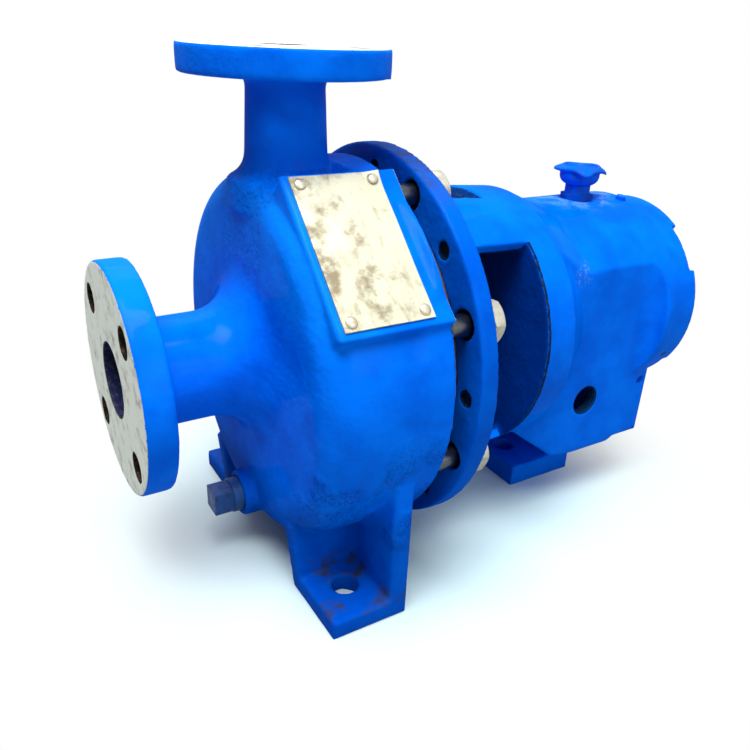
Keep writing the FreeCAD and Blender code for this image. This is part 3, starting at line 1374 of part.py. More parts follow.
def make_fittings():
    boss = -mm.lobe_front_x - mm.drain_boss_l
    thread_l = mm.drain_boss_l + 2
    square_plug("casing_drain_plug", "-x", (boss + thread_l, 0, mm.shaft_height - mm.drain_drop),
                mm.drain_thread_r, thread_l, mm.drain_collar_l, mm.drain_square, mm.drain_head_l)
    plug_l = 8
    at = (mm.housing_back_x - plug_l, 0, mm.shaft_height - mm.sump_plug_drop)
    square_plug("sump_drain_plug", "x", at, mm.sump_plug_r, plug_l, 0, mm.sump_plug_square, mm.sump_plug_l)
    seat = mm.filler_seat + mm.shaft_height
    thread = primitive("Cylinder", (mm.filler_x, 0, seat - 10), Radius=mm.filler_thread_r, Height=10)
    hexagonal = hexagon((mm.filler_x, 0, seat), "z", mm.filler_flat, mm.filler_hex_h, 10)
    neck_top = seat + mm.filler_hex_h + mm.filler_neck_h
    neck = primitive("Cylinder", (mm.filler_x, 0, seat), Radius=mm.filler_neck_r,
                     Height=mm.filler_hex_h + mm.filler_neck_h)
    bore = primitive("Cylinder", (mm.filler_x, 0, seat - 11), Radius=mm.filler_bore_r,
                     Height=mm.filler_hex_h + mm.filler_neck_h + 12)
    node(drilled(joined([thread, hexagonal, neck]), bore), "filler_bushing")
    make_filler_cap(neck_top - mm.shaft_height)
    glass_y = mm.flat_y
    at = (mm.oiler_x, glass_y - mm.sump_wall, mm.shaft_height - mm.oiler_drop)
    thread = primitive("Cylinder", at, TURNS["y"], Radius=mm.glass_r, Height=mm.sump_wall)
    at = (mm.oiler_x, glass_y, mm.shaft_height - mm.oiler_drop)
    flange = primitive("Cylinder", at, TURNS["y"], Radius=mm.glass_flange_r, Height=mm.glass_flange_t)
    at = (mm.oiler_x, glass_y - mm.sump_wall - 1, mm.shaft_height - mm.oiler_drop)
    window = primitive("Cylinder", at, TURNS["y"], Radius=mm.lens_r, Height=mm.sump_wall + mm.glass_flange_t + 2)
    node(drilled(joined([thread, flange]), window), "sight_glass_bezel")
    at = (mm.oiler_x, glass_y - 2, mm.shaft_height - mm.oiler_drop)
    lens = primitive("Cylinder", at, TURNS["y"], Radius=mm.lens_r, Height=6)
    node(lens, "sight_glass_lens")


def make_filler_cap(bottom):
    """A vented cap: a stem, a bowl and a rim of four finger lobes round a dish."""
    cap = doc.addObject("PartDesign::Body", "filler_cap")
    put(cap, (mm.filler_x, 0, mm.shaft_height + bottom))
    node(cap, "filler_cap")
    stem_r = mm.filler_bore_r - mm.cap_gap
    rim = mm.cap_bowl_h
    turn(cap, [
        (0, -10),
        (stem_r, -10),
        (stem_r, 0.3),
        (mm.cap_root_r, 0.3),
        (mm.cap_bowl_r, 4, 5, 1),
        (mm.cap_bowl_r, rim),
        (0, rim),
    ], about="V_Axis")
    rod(cap, "z", (0, 0, rim - 1), mm.cap_lobe_h + 1, mm.cap_bowl_r + 1)
    lobe_x = mm.cap_lobe_pitch_r * cos_of(mm.cap_lobe_first)
    lobe_y = mm.cap_lobe_pitch_r * sin_of(mm.cap_lobe_first)
    lobe = rod(cap, "z", (lobe_x, lobe_y, rim), mm.cap_lobe_h, mm.cap_lobe_r)
    around(cap, lobe, mm.cap_lobe_count, "Z_Axis")
    rod(cap, "z", (0, 0, rim + mm.cap_lobe_h - 3), 4, mm.cap_dish_r, cut=True)


make_casing()
make_nameplate()
make_cover()
make_gland()
make_impeller()
make_shaft()
make_bearings()
make_carrier()
make_frame()
oil_seal("inboard_oil_seal", mm.drum_wall_x + 0.6, mm.shaft_seal_r, mm.inboard_seal_r)
make_frame_fasteners()
make_fittings()
doc.recompute()

for item in doc.Objects:
    bad = [state for state in item.State if state in ("Invalid", "Error")]
    if bad:
        raise RuntimeError(f"{item.Name} ({item.Label}) is {bad}: {item.getStatusString()}")
for item in NODES:
    if item.Shape.isNull() or not item.Shape.isValid() or not item.Shape.Solids:
        raise RuntimeError(f"{item.Label} has no valid solid")

os.makedirs("parts", exist_ok=True)
for item in NODES:
    item.Shape.exportStep(f"parts/{item.Label}.step")
    print(item.Label, len(item.Shape.Solids), "solid(s)", round(item.Shape.Volume), "mm3")
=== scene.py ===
# %% [markdown]
# # A small process pump
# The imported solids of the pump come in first. They stay where they are and keep their joints.
# This lesson gives each of them the finish of the real object, and makes finer pieces where the
# plain solids look too stiff: the three castings, the bolts, the plate and the filler cap.

import math

import bpy
import bmesh
import numpy as np
from mathutils import Matrix, Vector


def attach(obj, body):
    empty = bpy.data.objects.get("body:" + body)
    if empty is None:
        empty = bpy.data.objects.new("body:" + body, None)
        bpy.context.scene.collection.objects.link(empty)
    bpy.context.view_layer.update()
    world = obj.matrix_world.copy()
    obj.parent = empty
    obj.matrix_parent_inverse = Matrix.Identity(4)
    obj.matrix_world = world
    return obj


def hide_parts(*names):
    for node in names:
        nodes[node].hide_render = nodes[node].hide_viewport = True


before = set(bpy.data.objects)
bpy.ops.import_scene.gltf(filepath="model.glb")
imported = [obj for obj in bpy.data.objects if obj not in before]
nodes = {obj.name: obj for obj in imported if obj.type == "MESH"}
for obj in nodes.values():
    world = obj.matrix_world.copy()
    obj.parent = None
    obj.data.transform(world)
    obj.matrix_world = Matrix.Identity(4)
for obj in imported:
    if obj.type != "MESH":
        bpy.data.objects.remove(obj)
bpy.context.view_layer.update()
print("solids in the frame:", len(nodes))

# %% [markdown]
# The drawing of the pump is in millimetres and Blender works in metres. These are the sizes of
# the drawing that the finer pieces need, so that each of them lands on the solid it stands for.

# %% Sizes shared with the drawing
MM = 0.001
SHAFT_Z = 133.35
SUCTION_FACE_X = -101.6
DISCHARGE_FACE_Z = 298.45
CASING_BACK_X = 43.0
RING_FRONT_X = 54.8
RING_BACK_X = 65.4
WALL_X = 126.9
WINDOW_BACK_X = 128.3
HOUSING_BACK_X = 257.5
SEAM_X = 258.0
DRUM_FRONT_R = 90.0
DRUM_WALL_R = 86.0
PORT_X = 196.9
PORT_Z = 79.95
BOLT_CIRCLE = 101.8
BOLT_COUNT = 8
BOLT_FIRST = 22.5
RECESS_HALF = 19.0
RECESS_END = 121.5
RECESS_DEPTH = 6.0
PLATE_TILT = math.radians(45.9)
FILLER_X = 220.8


def place_round_shaft(radius, degrees):
    """Y and Z of a point round the shaft, in millimetres; zero degrees is the near side."""
    angle = math.radians(degrees)
    return -radius * math.cos(angle), SHAFT_Z + radius * math.sin(angle)


print("bolts on a circle of", BOLT_CIRCLE * 2, "mm")

# %% [markdown]
# The camera stands where the photographer stood, a little ahead of the pump and above it. A
# camera is placed by its position, its heading, how far it looks down and its roll. The lens
# follows from how large the pump appears: 35 mm on a 36 mm sensor.

# %% Camera
SENSOR = 36.0
FOCUS_SHARE = 729.66 / 750
STAND = (-0.16741, -0.36579, 0.30878)
camera_data = bpy.data.cameras.new("camera")
camera_data.sensor_width = SENSOR
camera_data.lens = SENSOR * FOCUS_SHARE
camera_data.clip_start = 0.01
camera_data.clip_end = 60.0
camera = bpy.data.objects.new("camera", camera_data)
bpy.context.scene.collection.objects.link(camera)
bpy.context.scene.camera = camera

heading = math.radians(-32.09)
fall = math.radians(25.60)
roll = math.radians(2.62)
ahead = Vector((-math.sin(heading) * math.cos(fall), math.cos(heading) * math.cos(fall), -math.sin(fall)))
level = Vector((math.cos(heading), math.sin(heading), 0.0))
above = level.cross(ahead)
right = math.cos(roll) * level + math.sin(roll) * above
up = math.cos(roll) * above - math.sin(roll) * level
turn = Matrix((right, up, -ahead)).transposed().to_4x4()
camera.matrix_world = Matrix.Translation(STAND) @ turn
print("camera lens:", round(camera_data.lens, 2), "mm")

# %% [markdown]
# A finish is a small network of nodes. Written as nodes it is hard to read, so one class wraps
# a socket and lets ordinary sums stand for Math nodes, and a second one holds a material and
# adds every other kind of node through a single method.

# %% A socket that can be added and multiplied
class Wire:
    """The output of a node. Sums with it add Math nodes."""

    def __init__(self, finish, socket):
        self.finish = finish
        self.socket = socket

    def work(self, operation, first, second):
        return self.finish.node("ShaderNodeMath", {"operation": operation}, {0: first, 1: second})

    def __add__(self, other):
        return self.work("ADD", self, other)

    def __radd__(self, other):
        return self.work("ADD", other, self)

    def __sub__(self, other):
        return self.work("SUBTRACT", self, other)

    def __rsub__(self, other):
        return self.work("SUBTRACT", other, self)

    def __mul__(self, other):
        return self.work("MULTIPLY", self, other)

    def __rmul__(self, other):
        return self.work("MULTIPLY", other, self)

    def __lt__(self, other):
        return self.work("LESS_THAN", self, other)

    def __gt__(self, other):
        return self.work("GREATER_THAN", self, other)

    def __pow__(self, other):
        return self.work("POWER", self, other)


class Finish:
    """One material: its shader, and one method that adds any node."""

    def __init__(self, name):
        self.material = bpy.data.materials.new(name)
        self.material.use_nodes = True
        self.tree = self.material.node_tree
        self.shader = self.tree.nodes["Principled BSDF"]
        self.place = self.node("ShaderNodeTexCoord", out="Object")
        split = self.node("ShaderNodeSeparateXYZ", inputs={0: self.place})
        sockets = split.socket.node.outputs
        self.x, self.y, self.z = [Wire(self, socket) for socket in sockets]

    def node(self, kind, settings=None, inputs=None, out=0):
        """Add a node: its settings first, then values or wires on its inputs."""
        made = self.tree.nodes.new(kind)
        for key, value in (settings or {}).items():
            setattr(made, key, value)
        for key, value in (inputs or {}).items():
            self.feed(made.inputs[key], value)
        return Wire(self, made.outputs[out])

    def feed(self, socket, value):
        if isinstance(value, Wire):
            self.tree.links.new(value.socket, socket)
        elif isinstance(value, tuple) and len(value) == 3 and socket.type == "RGBA":
            socket.default_value = (*value, 1.0)
        else:
            socket.default_value = value

    def noise(self, size, detail=2.0, roughness=0.5, stretch=None, w=0.0):
        """Cloudy noise whose patches are about as wide as size, in millimetres."""
        at = self.place
        if stretch:
            at = self.node("ShaderNodeVectorMath", {"operation": "MULTIPLY"}, {0: at, 1: stretch})
        if w:
            at = self.node("ShaderNodeVectorMath", {"operation": "ADD"}, {0: at, 1: (w, w * 0.7, -w)})
        return self.node("ShaderNodeTexNoise", {}, {
            "Vector": at, "Scale": 1.0 / (size * MM), "Detail": detail, "Roughness": roughness})

    def step(self, value, low, high):
        """A soft step: 0 below low and 1 above high."""
        return self.node("ShaderNodeMapRange", {"interpolation_type": "SMOOTHSTEP"}, {
            "Value": value, "From Min": low, "From Max": high})

    def mix(self, mask, first, second):
        """Blend two colours by a mask."""
        return self.node("ShaderNodeMix", {"data_type": "RGBA"}, {0: mask, 6: first, 7: second}, out=2)

    def blend(self, mask, first, second):
        """Blend two numbers by a mask."""
        return self.node("ShaderNodeMix", {"data_type": "FLOAT"}, {0: mask, 2: first, 3: second})

    def both(self, first, second):
        return self.node("ShaderNodeMath", {"operation": "MAXIMUM"}, {0: first, 1: second})

    def off_axis(self, axis, height=0.0):
        """Distance from a line along axis, in metres."""
        pair = {"x": (self.y, self.z - height), "z": (self.x, self.y), "y": (self.x, self.z - height)}[axis]
        total = pair[0] * pair[0] + pair[1] * pair[1]
        return total ** 0.5

    def rounded(self, radius, samples=6):
        """The normal of a surface whose edges are rounded off."""
        return self.node("ShaderNodeBevel", {"samples": samples}, {"Radius": radius * MM})

    def bump(self, height, depth, normal=None, strength=1.0):
        inputs = {"Height": height, "Distance": depth * MM, "Strength": strength}
        if normal:
            inputs["Normal"] = normal
        return self.node("ShaderNodeBump", {}, inputs)

    def set(self, **values):
        for key, value in values.items():
            self.feed(self.shader.inputs[key.replace("_", " ")], value)
        return self.material


print("shader helpers are ready")

# %% [markdown]
# All three castings carry the same blue enamel, sprayed on thick over sand-cast iron. Up close
# it has three scales of unevenness: slow waves of the casting, the orange peel of the spray and
# fine grit from the sand. Paint is lost first where edges stand out and where spanners and pipes
# have touched, so chips follow a noise that is pushed up along the edges. Corners that turn
# inwards are painted darker, as painted shade. The base layer reflects nothing, because in a
# white room even a weak reflection lays a milky veil over a strong blue: a thin coat alone gives
# the gloss.

# %% Colours of the paint and of what lies under it
BLUE = (0.000, 0.148, 0.860)
BLUE_DEEP = (0.000, 0.100, 0.690)
# Painted shade: the dark blue of inward corners, the feet, the ring front and the inside of the drum.
BLUE_SHADE = (0.000, 0.032, 0.270)
BLUE_PALE = (0.003, 0.250, 0.920)
PRIMER = (0.012, 0.022, 0.045)
BARE_IRON = (0.600, 0.640, 0.590)
BARE_STAIN = (0.200, 0.180, 0.140)
DIRT = (0.035, 0.038, 0.030)
# Pale dust; also used for small flecks that are a painted highlight.
DUST_AND_HIGHLIGHT = (0.130, 0.260, 0.560)
CRACK = (0.000, 0.012, 0.130)
THREAD = (0.010, 0.085, 0.300)
THREAD_PITCH = 1.81
# Tones inside holes, bores, recesses and seams: near black for painted shade, with rust in the casing's.
HOLE_SHADE_TONES = ((0.002, 0.012, 0.045), (0.012, 0.030, 0.060))
HOLE_RUST_AND_SHADE_TONES = ((0.012, 0.009, 0.007), (0.075, 0.040, 0.025))


def enamel(name, bare=None, dark=None, rough=None, edges=None, grime=None, holes=None, dust_and_highlight=None,
           deep=None, painted_light=None, threads=None, hole_tones=HOLE_SHADE_TONES, seed=0.0):
    """Blue enamel. Each mask is a rule that says where the paint is as the mask is called."""
    paint = Finish(name)
    cloud = paint.noise(38, 3, 0.6, w=seed + 0.3)
    base = paint.mix(paint.step(cloud, 0.35, 0.7), BLUE, BLUE_DEEP)
    streaks = paint.noise(14, 4, 0.65, w=seed + 0.9)
    base = paint.mix(paint.step(streaks, 0.6, 0.86) * 0.35, base, BLUE_PALE)
    bend = paint.node("ShaderNodeNewGeometry", out="Pointiness")
    edge_wear = paint.step(bend, 0.54, 0.68)
    # Painted shade: inward corners, where the pointiness is low, are coloured darker.
    base = paint.mix(paint.step(bend, 0.485, 0.43) * 0.55, base, BLUE_SHADE)
    # Painted shade: this mask darkens the paint where shade falls.
    if deep is not None:
        base = paint.mix(deep(paint), base, BLUE_SHADE)
    # Painted light: this mask makes the paint paler where more light falls.
    if painted_light is not None:
        base = paint.mix(painted_light(paint), base, BLUE_PALE)
    chip_noise = paint.noise(5.5, 5, 0.7, w=seed + 2.1)
    chips = paint.step(chip_noise + edge_wear * 0.06, 0.715, 0.74)
    base = paint.mix(chips * 0.85, base, PRIMER)
    gloss = paint.blend(paint.step(streaks, 0.3, 0.8), 0.34, 0.46)
    metal = 0.0
    # Painted shade: this mask colours the place almost black-blue, with pale specks.
    if dark is not None:
        inside = dark(paint)
        specks = paint.step(paint.noise(2.2, 3, 0.7, w=seed + 3.3), 0.70, 0.73)
        shade = paint.mix(specks * 0.5, BLUE_SHADE, BLUE_PALE)
        base = paint.mix(inside, base, shade)
        gloss = paint.blend(inside, gloss, 0.5)
    if grime is not None:
        base = paint.mix(grime(paint), base, DIRT)
    # Pale dust, and on the frame small flecks that are a painted highlight.
    if dust_and_highlight is not None:
        base = paint.mix(dust_and_highlight(paint), base, DUST_AND_HIGHLIGHT)
    if bare is not None:
        open_iron = bare(paint)
        cast = paint.noise(9, 5, 0.65, w=seed + 1.7)
        iron = paint.mix(paint.step(cast, 0.48, 0.78), BARE_IRON, BARE_STAIN)
        base = paint.mix(open_iron, base, iron)
        gloss = paint.blend(open_iron, gloss, 0.46)
        metal = open_iron * 0.55
    # Painted shade: holes, bores, the oiler port and the sunk place are coloured near black; seams and
    # chipped edges are real dark lines in the same tones.
    if holes is not None:
        drilled = holes(paint)
        dark_tone = paint.mix(paint.step(paint.noise(3, 3, 0.6), 0.45, 0.7), *hole_tones)
        base = paint.mix(drilled, base, dark_tone)
        gloss = paint.blend(drilled, gloss, 0.6)
    if threads is not None:
        cut = threads(paint)
        per_metre = math.tau / (THREAD_PITCH * MM)
        turns = paint.node("ShaderNodeMath", {"operation": "SINE"}, {0: paint.y * per_metre})
        base = paint.mix(cut * paint.step(turns, -0.2, 0.9) * 0.7, base, THREAD)
    waves = paint.noise(17, 2, 0.5, w=seed + 4.2)
    peel = paint.noise(3.1, 2, 0.55, w=seed + 5.0)
    grit = paint.noise(0.95, 2, 0.6, w=seed + 6.1)
    height = waves * 1.8 + peel * 0.45 + grit * 0.02
    if rough is not None:
        lumps = paint.noise(4.2, 4, 0.62, w=seed + 7.4)
        cracks = paint.step(paint.noise(5.0, 3, 0.5, w=seed + 8.1), 0.47, 0.53)
        torn = rough(paint)
        thin = paint.node("ShaderNodeMath", {"operation": "ABSOLUTE"}, {0: lumps - 0.5})
        base = paint.mix(torn * paint.step(thin, 0.022, 0.006) * 0.7, base, CRACK)
        height = height + torn * (lumps * 4.5 + cracks * 0.7)
    if bare is not None:
        height = height * (1.0 - open_iron * 0.93)
    if threads is not None:
        height = height + cut * turns * 0.7
    height = height - chips * 0.16
    normal = paint.bump(height, 0.9, paint.rounded(edges) if edges else None, 0.8)
    return paint.set(Base_Color=base, Roughness=gloss, Metallic=metal, Specular_IOR_Level=0.0,
                     Coat_Weight=0.04, Coat_Roughness=0.08, Normal=normal)


# %% [markdown]
# The casing is painted all over except where a lathe has been: the faces of both flanges, their
# bores and their bolt holes. The faces show pale iron with brown marks, and the paint ends on them
# in a ragged line because it was brushed up to the edge; the bores and bolt holes are near black,
# rust with painted shade inside them. The paint is torn low on the near side, and damp has left
# brown marks beside the foot holes. Painted shade darkens the feet, and painted light makes the
# upper front paler.

# %% Enamel of the casing
def four_holes(finish, first, second, pitch, radius, depth):
    """1 inside four holes that stand at 45 degrees round a flange."""
    reach = pitch * math.sqrt(0.5) * MM
    sideways = finish.node("ShaderNodeMath", {"operation": "ABSOLUTE"}, {0: first}) - reach
    upwards = finish.node("ShaderNodeMath", {"operation": "ABSOLUTE"}, {0: second}) - reach
    return ((sideways * sideways + upwards * upwards) ** 0.5 < radius * MM) * depth


def flange_holes(paint):
    # Painted shade: the bolt holes and bores are coloured near black with rust tones.
    suction = four_holes(paint, paint.y, paint.z - SHAFT_Z * MM, 49.2, 8.6, paint.x < -0.0850)
    discharge = four_holes(paint, paint.x, paint.y, 39.7, 8.6, paint.z > 0.2840)
    bores = paint.both((paint.off_axis("x", SHAFT_Z * MM) < 0.0212) * (paint.x < 0.0),
                       (paint.off_axis("z") < 0.0140) * (paint.z > 0.21))
    return paint.both(paint.both(suction, discharge), bores * 0.92)


def casing_bare(paint):
    ragged = paint.noise(2.6, 4, 0.7, w=1.0) * 0.0026
    round_shaft = paint.off_axis("x", SHAFT_Z * MM)
    round_riser = paint.off_axis("z")
    suction = (paint.x < (SUCTION_FACE_X + 0.35) * MM) * (round_shaft < 0.0640 - ragged)
    discharge = (paint.z > (DISCHARGE_FACE_Z - 0.35) * MM) * (round_riser < 0.0545 - ragged)
    back = (paint.x > (CASING_BACK_X - 0.3) * MM) * (round_shaft < 0.1160)
    return paint.both(paint.both(suction, discharge), back)


def casing_rough(paint):
    low = paint.step(paint.z, 0.135, 0.095) * paint.step(paint.z, 0.046, 0.056)
    near = paint.step(paint.y, -0.055, -0.085)
    patches = paint.step(paint.noise(30, 2, 0.5, w=8.8), 0.44, 0.56)
    neck = paint.step(paint.z, 0.175, 0.195) * (paint.off_axis("z") < 0.040) * (paint.z < 0.2405)
    return paint.both(low * near * patches, neck * 0.5)


def volute_painted_light(paint):
    """Painted light: the upper front of the volute is coloured paler, for the stronger light that falls on
    it.
    """
    front = paint.step(paint.x, 0.020, -0.010)
    return paint.step(paint.z, 0.160, 0.195) * paint.step(paint.z, 0.240, 0.226) * front * 0.38


def feet_shade(paint):
    """Painted shade: the paint of the feet is coloured deeper, for the shade under the volute."""
    return paint.step(paint.z, 0.078, 0.050) * 0.50


def foot_grime(paint):
    """Brown damp marks on the ledges of the feet, beside the holes."""
    ledge = paint.step(paint.z, 0.030, 0.014) * paint.step(paint.z, 0.009, 0.012)
    marks = paint.step(paint.noise(19, 3, 0.6, w=5.5), 0.50, 0.66)
    return ledge * marks * 0.8


casing_paint = enamel("casing enamel", bare=casing_bare, rough=casing_rough, grime=foot_grime,
                      deep=feet_shade, painted_light=volute_painted_light, holes=flange_holes, hole_tones=HOLE_RUST_AND_SHADE_TONES)
print("casing enamel:", len(casing_paint.node_tree.nodes), "nodes")

# %% [markdown]
# The bearing frame is one casting with a flange, an open drum and the bearing housing. The
# inside of the drum is painted almost black-blue as painted shade, with pale specks. Its flange
# has a grimy rim on top and a front painted deeper as painted shade behind the volute. Dark masks
# paint shade into the holes of the ring, the sunk place on the drum and the oiler port, and mark
# the seam before the carrier, whose own rim has lost two chips of paint.

# %% Enamel of the bearing frame and the carrier
def drum_inside_shade(paint):
    # Painted shade: the inside of the drum and the jambs of the windows are coloured almost black-blue.
    round_shaft = paint.off_axis("x", SHAFT_Z * MM)
    back_edge = paint.step(paint.x, 0.1290, 0.1275)
    front_edge = paint.step(paint.x, 0.0540, 0.0560)
    ragged = paint.noise(5, 3, 0.6, w=9.1) * 0.006
    room = paint.step(round_shaft + ragged, 0.0850, 0.0830) * back_edge * front_edge
    jamb = (paint.x > 0.1255) * (paint.x < 0.1273) * beside_window(paint)
    return paint.both(room, jamb)


def spot(paint, x, y, z, radius):
    """1 within a small uneven chip; its place and radius are in millimetres."""
    first, second, third = paint.x - x * MM, paint.y - y * MM, paint.z - z * MM
    away = (first * first + second * second + third * third) ** 0.5
    return (away + (paint.noise(1.6, 3, 0.6) - 0.5) * 0.002 < radius * MM) * 1.0


def frame_bare(paint):
    chips = paint.both(spot(paint, 255.1, -61.0, 143.7, 1.5), spot(paint, 249.5, -61.0, 121.5, 1.3))
    return paint.both(paint.z < 0.0004, chips * 0.8)


def carrier_bare(paint):
    return paint.off_axis("x", SHAFT_Z * MM) < 0.0372


def carrier_chips(paint):
    """Two small places on the rim where the paint has come off down to dark iron."""
    edge = paint.noise(1.6, 3, 0.6, w=4.4)
    chips = paint.both(spot(paint, 271.1, -60.7, 101.0, 2.6), spot(paint, 266.5, -61.5, 108.0, 1.3))
    return chips * paint.step(edge, 0.36, 0.46) * 0.85


def ring_front_shade(paint):
    """Painted shade on the front of the ring, behind the volute."""
    return (paint.x < (RING_BACK_X + 0.4) * MM) * 0.42


def frame_grime(paint):
    round_shaft = paint.off_axis("x", SHAFT_Z * MM)
    rim = paint.step(round_shaft, 0.1138, 0.1150)
    top = paint.step(paint.z, 0.222, 0.243)
    on_ring = (paint.x < (RING_BACK_X + 0.4) * MM)
    worn = paint.step(paint.noise(7, 4, 0.7, w=3.0), 0.3, 0.6)
    return rim * top * on_ring * worn * 0.75


def hole_at(paint, first, second, radius):
    """1 inside a hole through the ring, and inside its copies by symmetry."""
    aside = paint.node("ShaderNodeMath", {"operation": "ABSOLUTE"}, {0: paint.y}) - first * MM
    above = paint.node("ShaderNodeMath", {"operation": "ABSOLUTE"}, {0: paint.z - SHAFT_Z * MM}) - second * MM
    return ((aside * aside + above * above) ** 0.5 < radius * MM) * 1.0


def ring_holes(paint):
    """Bolt holes and tapped holes of the ring, painted dark as the shade inside them."""
    inside = (paint.x > (RING_FRONT_X + 0.4) * MM) * (paint.x < (RING_BACK_X - 0.4) * MM)
    every = None
    for count in range(5):
        angle = math.radians(22.5 * count)
        reach = 5.3 if count % 2 == 0 else 8.2
        one = hole_at(paint, BOLT_CIRCLE * math.cos(angle), BOLT_CIRCLE * math.sin(angle), reach)
        every = one if every is None else paint.both(every, one)
    return every * inside


def beside_window(paint):
    """1 within the half opening of the side windows."""
    aside = paint.node("ShaderNodeMath", {"operation": "ABSOLUTE"}, {0: paint.y})
    height = paint.node("ShaderNodeMath", {"operation": "ABSOLUTE"}, {0: paint.z - SHAFT_Z * MM})
    return height - aside * 1.15 < 0.0006


def dark_lines(paint):
    """The seam before the carrier, and the chipped rear edge of the windows."""
    round_shaft = paint.off_axis("x", SHAFT_Z * MM)
    wander = (paint.noise(6, 3, 0.6, w=2.2) - 0.5) * 0.0016
    from_seam = paint.node("ShaderNodeMath", {"operation": "ABSOLUTE"}, {0: paint.x - SEAM_X * MM})
    seam = paint.step(from_seam + wander * 0.3, 0.0017, 0.0009) * (round_shaft > 0.046) * 0.9
    past_edge = paint.x + wander - WINDOW_BACK_X * MM
    from_edge = paint.node("ShaderNodeMath", {"operation": "ABSOLUTE"}, {0: past_edge})
    chipped = paint.step(from_edge, 0.0013, 0.0006) * paint.step(paint.noise(3.2, 4, 0.7, w=4.4), 0.30, 0.44)
    chipped = chipped * (round_shaft > 0.0835) * beside_window(paint)
    return paint.both(seam, chipped)


def recess_shade(paint):
    """Painted shade in the sunk place on top of the drum, between the two highest bolts."""
    aside = paint.node("ShaderNodeMath", {"operation": "ABSOLUTE"}, {0: paint.y})
    inside = (aside < RECESS_HALF * MM) * (paint.x < RECESS_END * MM) * (paint.x > (RING_BACK_X + 0.6) * MM)
    return inside * (paint.z > 0.205) * 0.85


def frame_shade_and_seams(paint):
    # Painted shade in the ring holes, the oiler port and the sunk place; the seam and the chipped window
    # edges are real dark lines.
    dark = paint.both(paint.both(port_hole(paint), ring_holes(paint)), dark_lines(paint))
    return paint.both(dark, recess_shade(paint))


def port_hole(paint):
    """The open oiler port, where threads show; its inside is painted dark as painted shade."""
    sideways = paint.x - PORT_X * MM
    upwards = paint.z - PORT_Z * MM
    within = (sideways * sideways + upwards * upwards) ** 0.5 < 0.0110
    return within * (paint.y < -0.030) * (paint.y > -0.0604)


def top_dust_and_highlight(paint):
    """Pale overspray on top of the housing, round the filler, and pale flecks on the near side that are a
    painted highlight on small cast flecks.
    """
    over = paint.step(paint.z, 0.196, 0.206)
    sideways = paint.x - FILLER_X * MM
    away = (sideways * sideways * 0.4 + paint.y * paint.y) ** 0.5
    patches = paint.step(paint.noise(11, 4, 0.65, w=7.7), 0.42, 0.66)
    filler = over * paint.step(away, 0.030, 0.012) * patches * 0.75
    # Painted highlight: small pale flecks at a corner of the near side, on small cast flecks.
    along = paint.x - 0.1748
    upwards = paint.z - 0.1737
    close = paint.step((along * along + upwards * upwards) ** 0.5, 0.010, 0.004) * (paint.y < -0.04)
    flecks = close * paint.step(paint.noise(2.6, 4, 0.7, w=1.9), 0.52, 0.62)
    return paint.both(filler, flecks * 0.8)


def fitting_grime(paint):
    """Thin dirt on the small fittings, in patches."""
    return paint.step(paint.noise(7, 3, 0.6), 0.35, 0.7) * 0.35


frame_paint = enamel("frame enamel", bare=frame_bare, dark=drum_inside_shade, grime=frame_grime,
                     deep=ring_front_shade, holes=frame_shade_and_seams, dust_and_highlight=top_dust_and_highlight, threads=port_hole, seed=11.0)
carrier_paint = enamel("carrier enamel", bare=carrier_bare, grime=carrier_chips, holes=dark_lines, seed=23.0)
small_paint = enamel("fitting enamel", grime=fitting_grime, edges=0.5, seed=31.0)
print("frame enamel:", len(frame_paint.node_tree.nodes), "nodes")

# %% [markdown]
# Turned, ground and plated steel differ mostly in how tight their gloss is and in which way the
# tool marks run. One recipe with a few choices gives all of them: a metal colour, stains that
# dull it, and fine grooves round the axis it was turned on. The grain stays very shallow, or a
# smooth shaft breaks up into flakes of whatever it mirrors.

# %% Metals
GROOVES_PER_METRE = 14000.0


def metal(name, colour, stain, gloss=0.3, stains=0.5, grooves=None, edges=0.35, seed=0.0, shine=1.0):
    """Bare metal with stains; grooves names the axis that it was turned on."""
    work = Finish(name)
    spots = work.step(work.noise(4.5, 5, 0.66, w=seed + 0.4), 0.42, 0.72)
    tone = work.mix(spots * stains, colour, stain)
    fine = work.noise(0.8, 3, 0.6, w=seed + 1.9)
    height = fine * 0.03
    if grooves:
        distance = work.off_axis(grooves, SHAFT_Z * MM if grooves == "x" else 0.0)
        along = {"x": work.x, "y": work.y, "z": work.z}[grooves]
        turned = (distance + along) * GROOVES_PER_METRE
        rings = work.node("ShaderNodeMath", {"operation": "SINE"}, {0: turned})
        height = height + rings * 0.015
    normal = work.bump(height, 0.06, work.rounded(edges), 0.6)
    rough = work.blend(spots, gloss, min(gloss + 0.25, 0.9))
    return work.set(Base_Color=tone, Roughness=rough, Metallic=shine, Normal=normal)


zinc = metal("dull zinc", (0.60, 0.56, 0.47), (0.30, 0.25, 0.18), 0.38, 0.55, None, 0.5, 1.0, 0.75)
stainless = metal("machined stainless", (0.58, 0.57, 0.55), (0.40, 0.37, 0.32), 0.24, 0.4, "x", 0.4, 3.0)
ground_steel = metal("ground shaft steel", (0.52, 0.52, 0.52), (0.32, 0.29, 0.25), 0.27, 0.4, "x", 0.4, 4.0)
race_steel = metal("polished race steel", (0.72, 0.72, 0.73), (0.60, 0.58, 0.55), 0.10, 0.3, "x", 0.3, 5.0)
old_iron = metal("machined cast iron", (0.15, 0.14, 0.13), (0.09, 0.06, 0.04), 0.5, 0.7, "x", 0.6, 6.0, 0.7)
brass = metal("turned brass", (0.62, 0.47, 0.22), (0.30, 0.22, 0.10), 0.26, 0.5, "y", 0.4, 7.0)
plug_steel = metal("plug steel under thin paint", (0.000, 0.060, 0.250), (0.004, 0.020, 0.060), 0.42, 0.7,
                   None, 0.7, 8.0, 0.1)
print("metals made")

# %% [markdown]
# The plate is a thin stamped sheet of pale metal, left blank here. Years of damp have dried on it
# in brown tide marks that run down from its upper half, and it is darkest along its front edge.

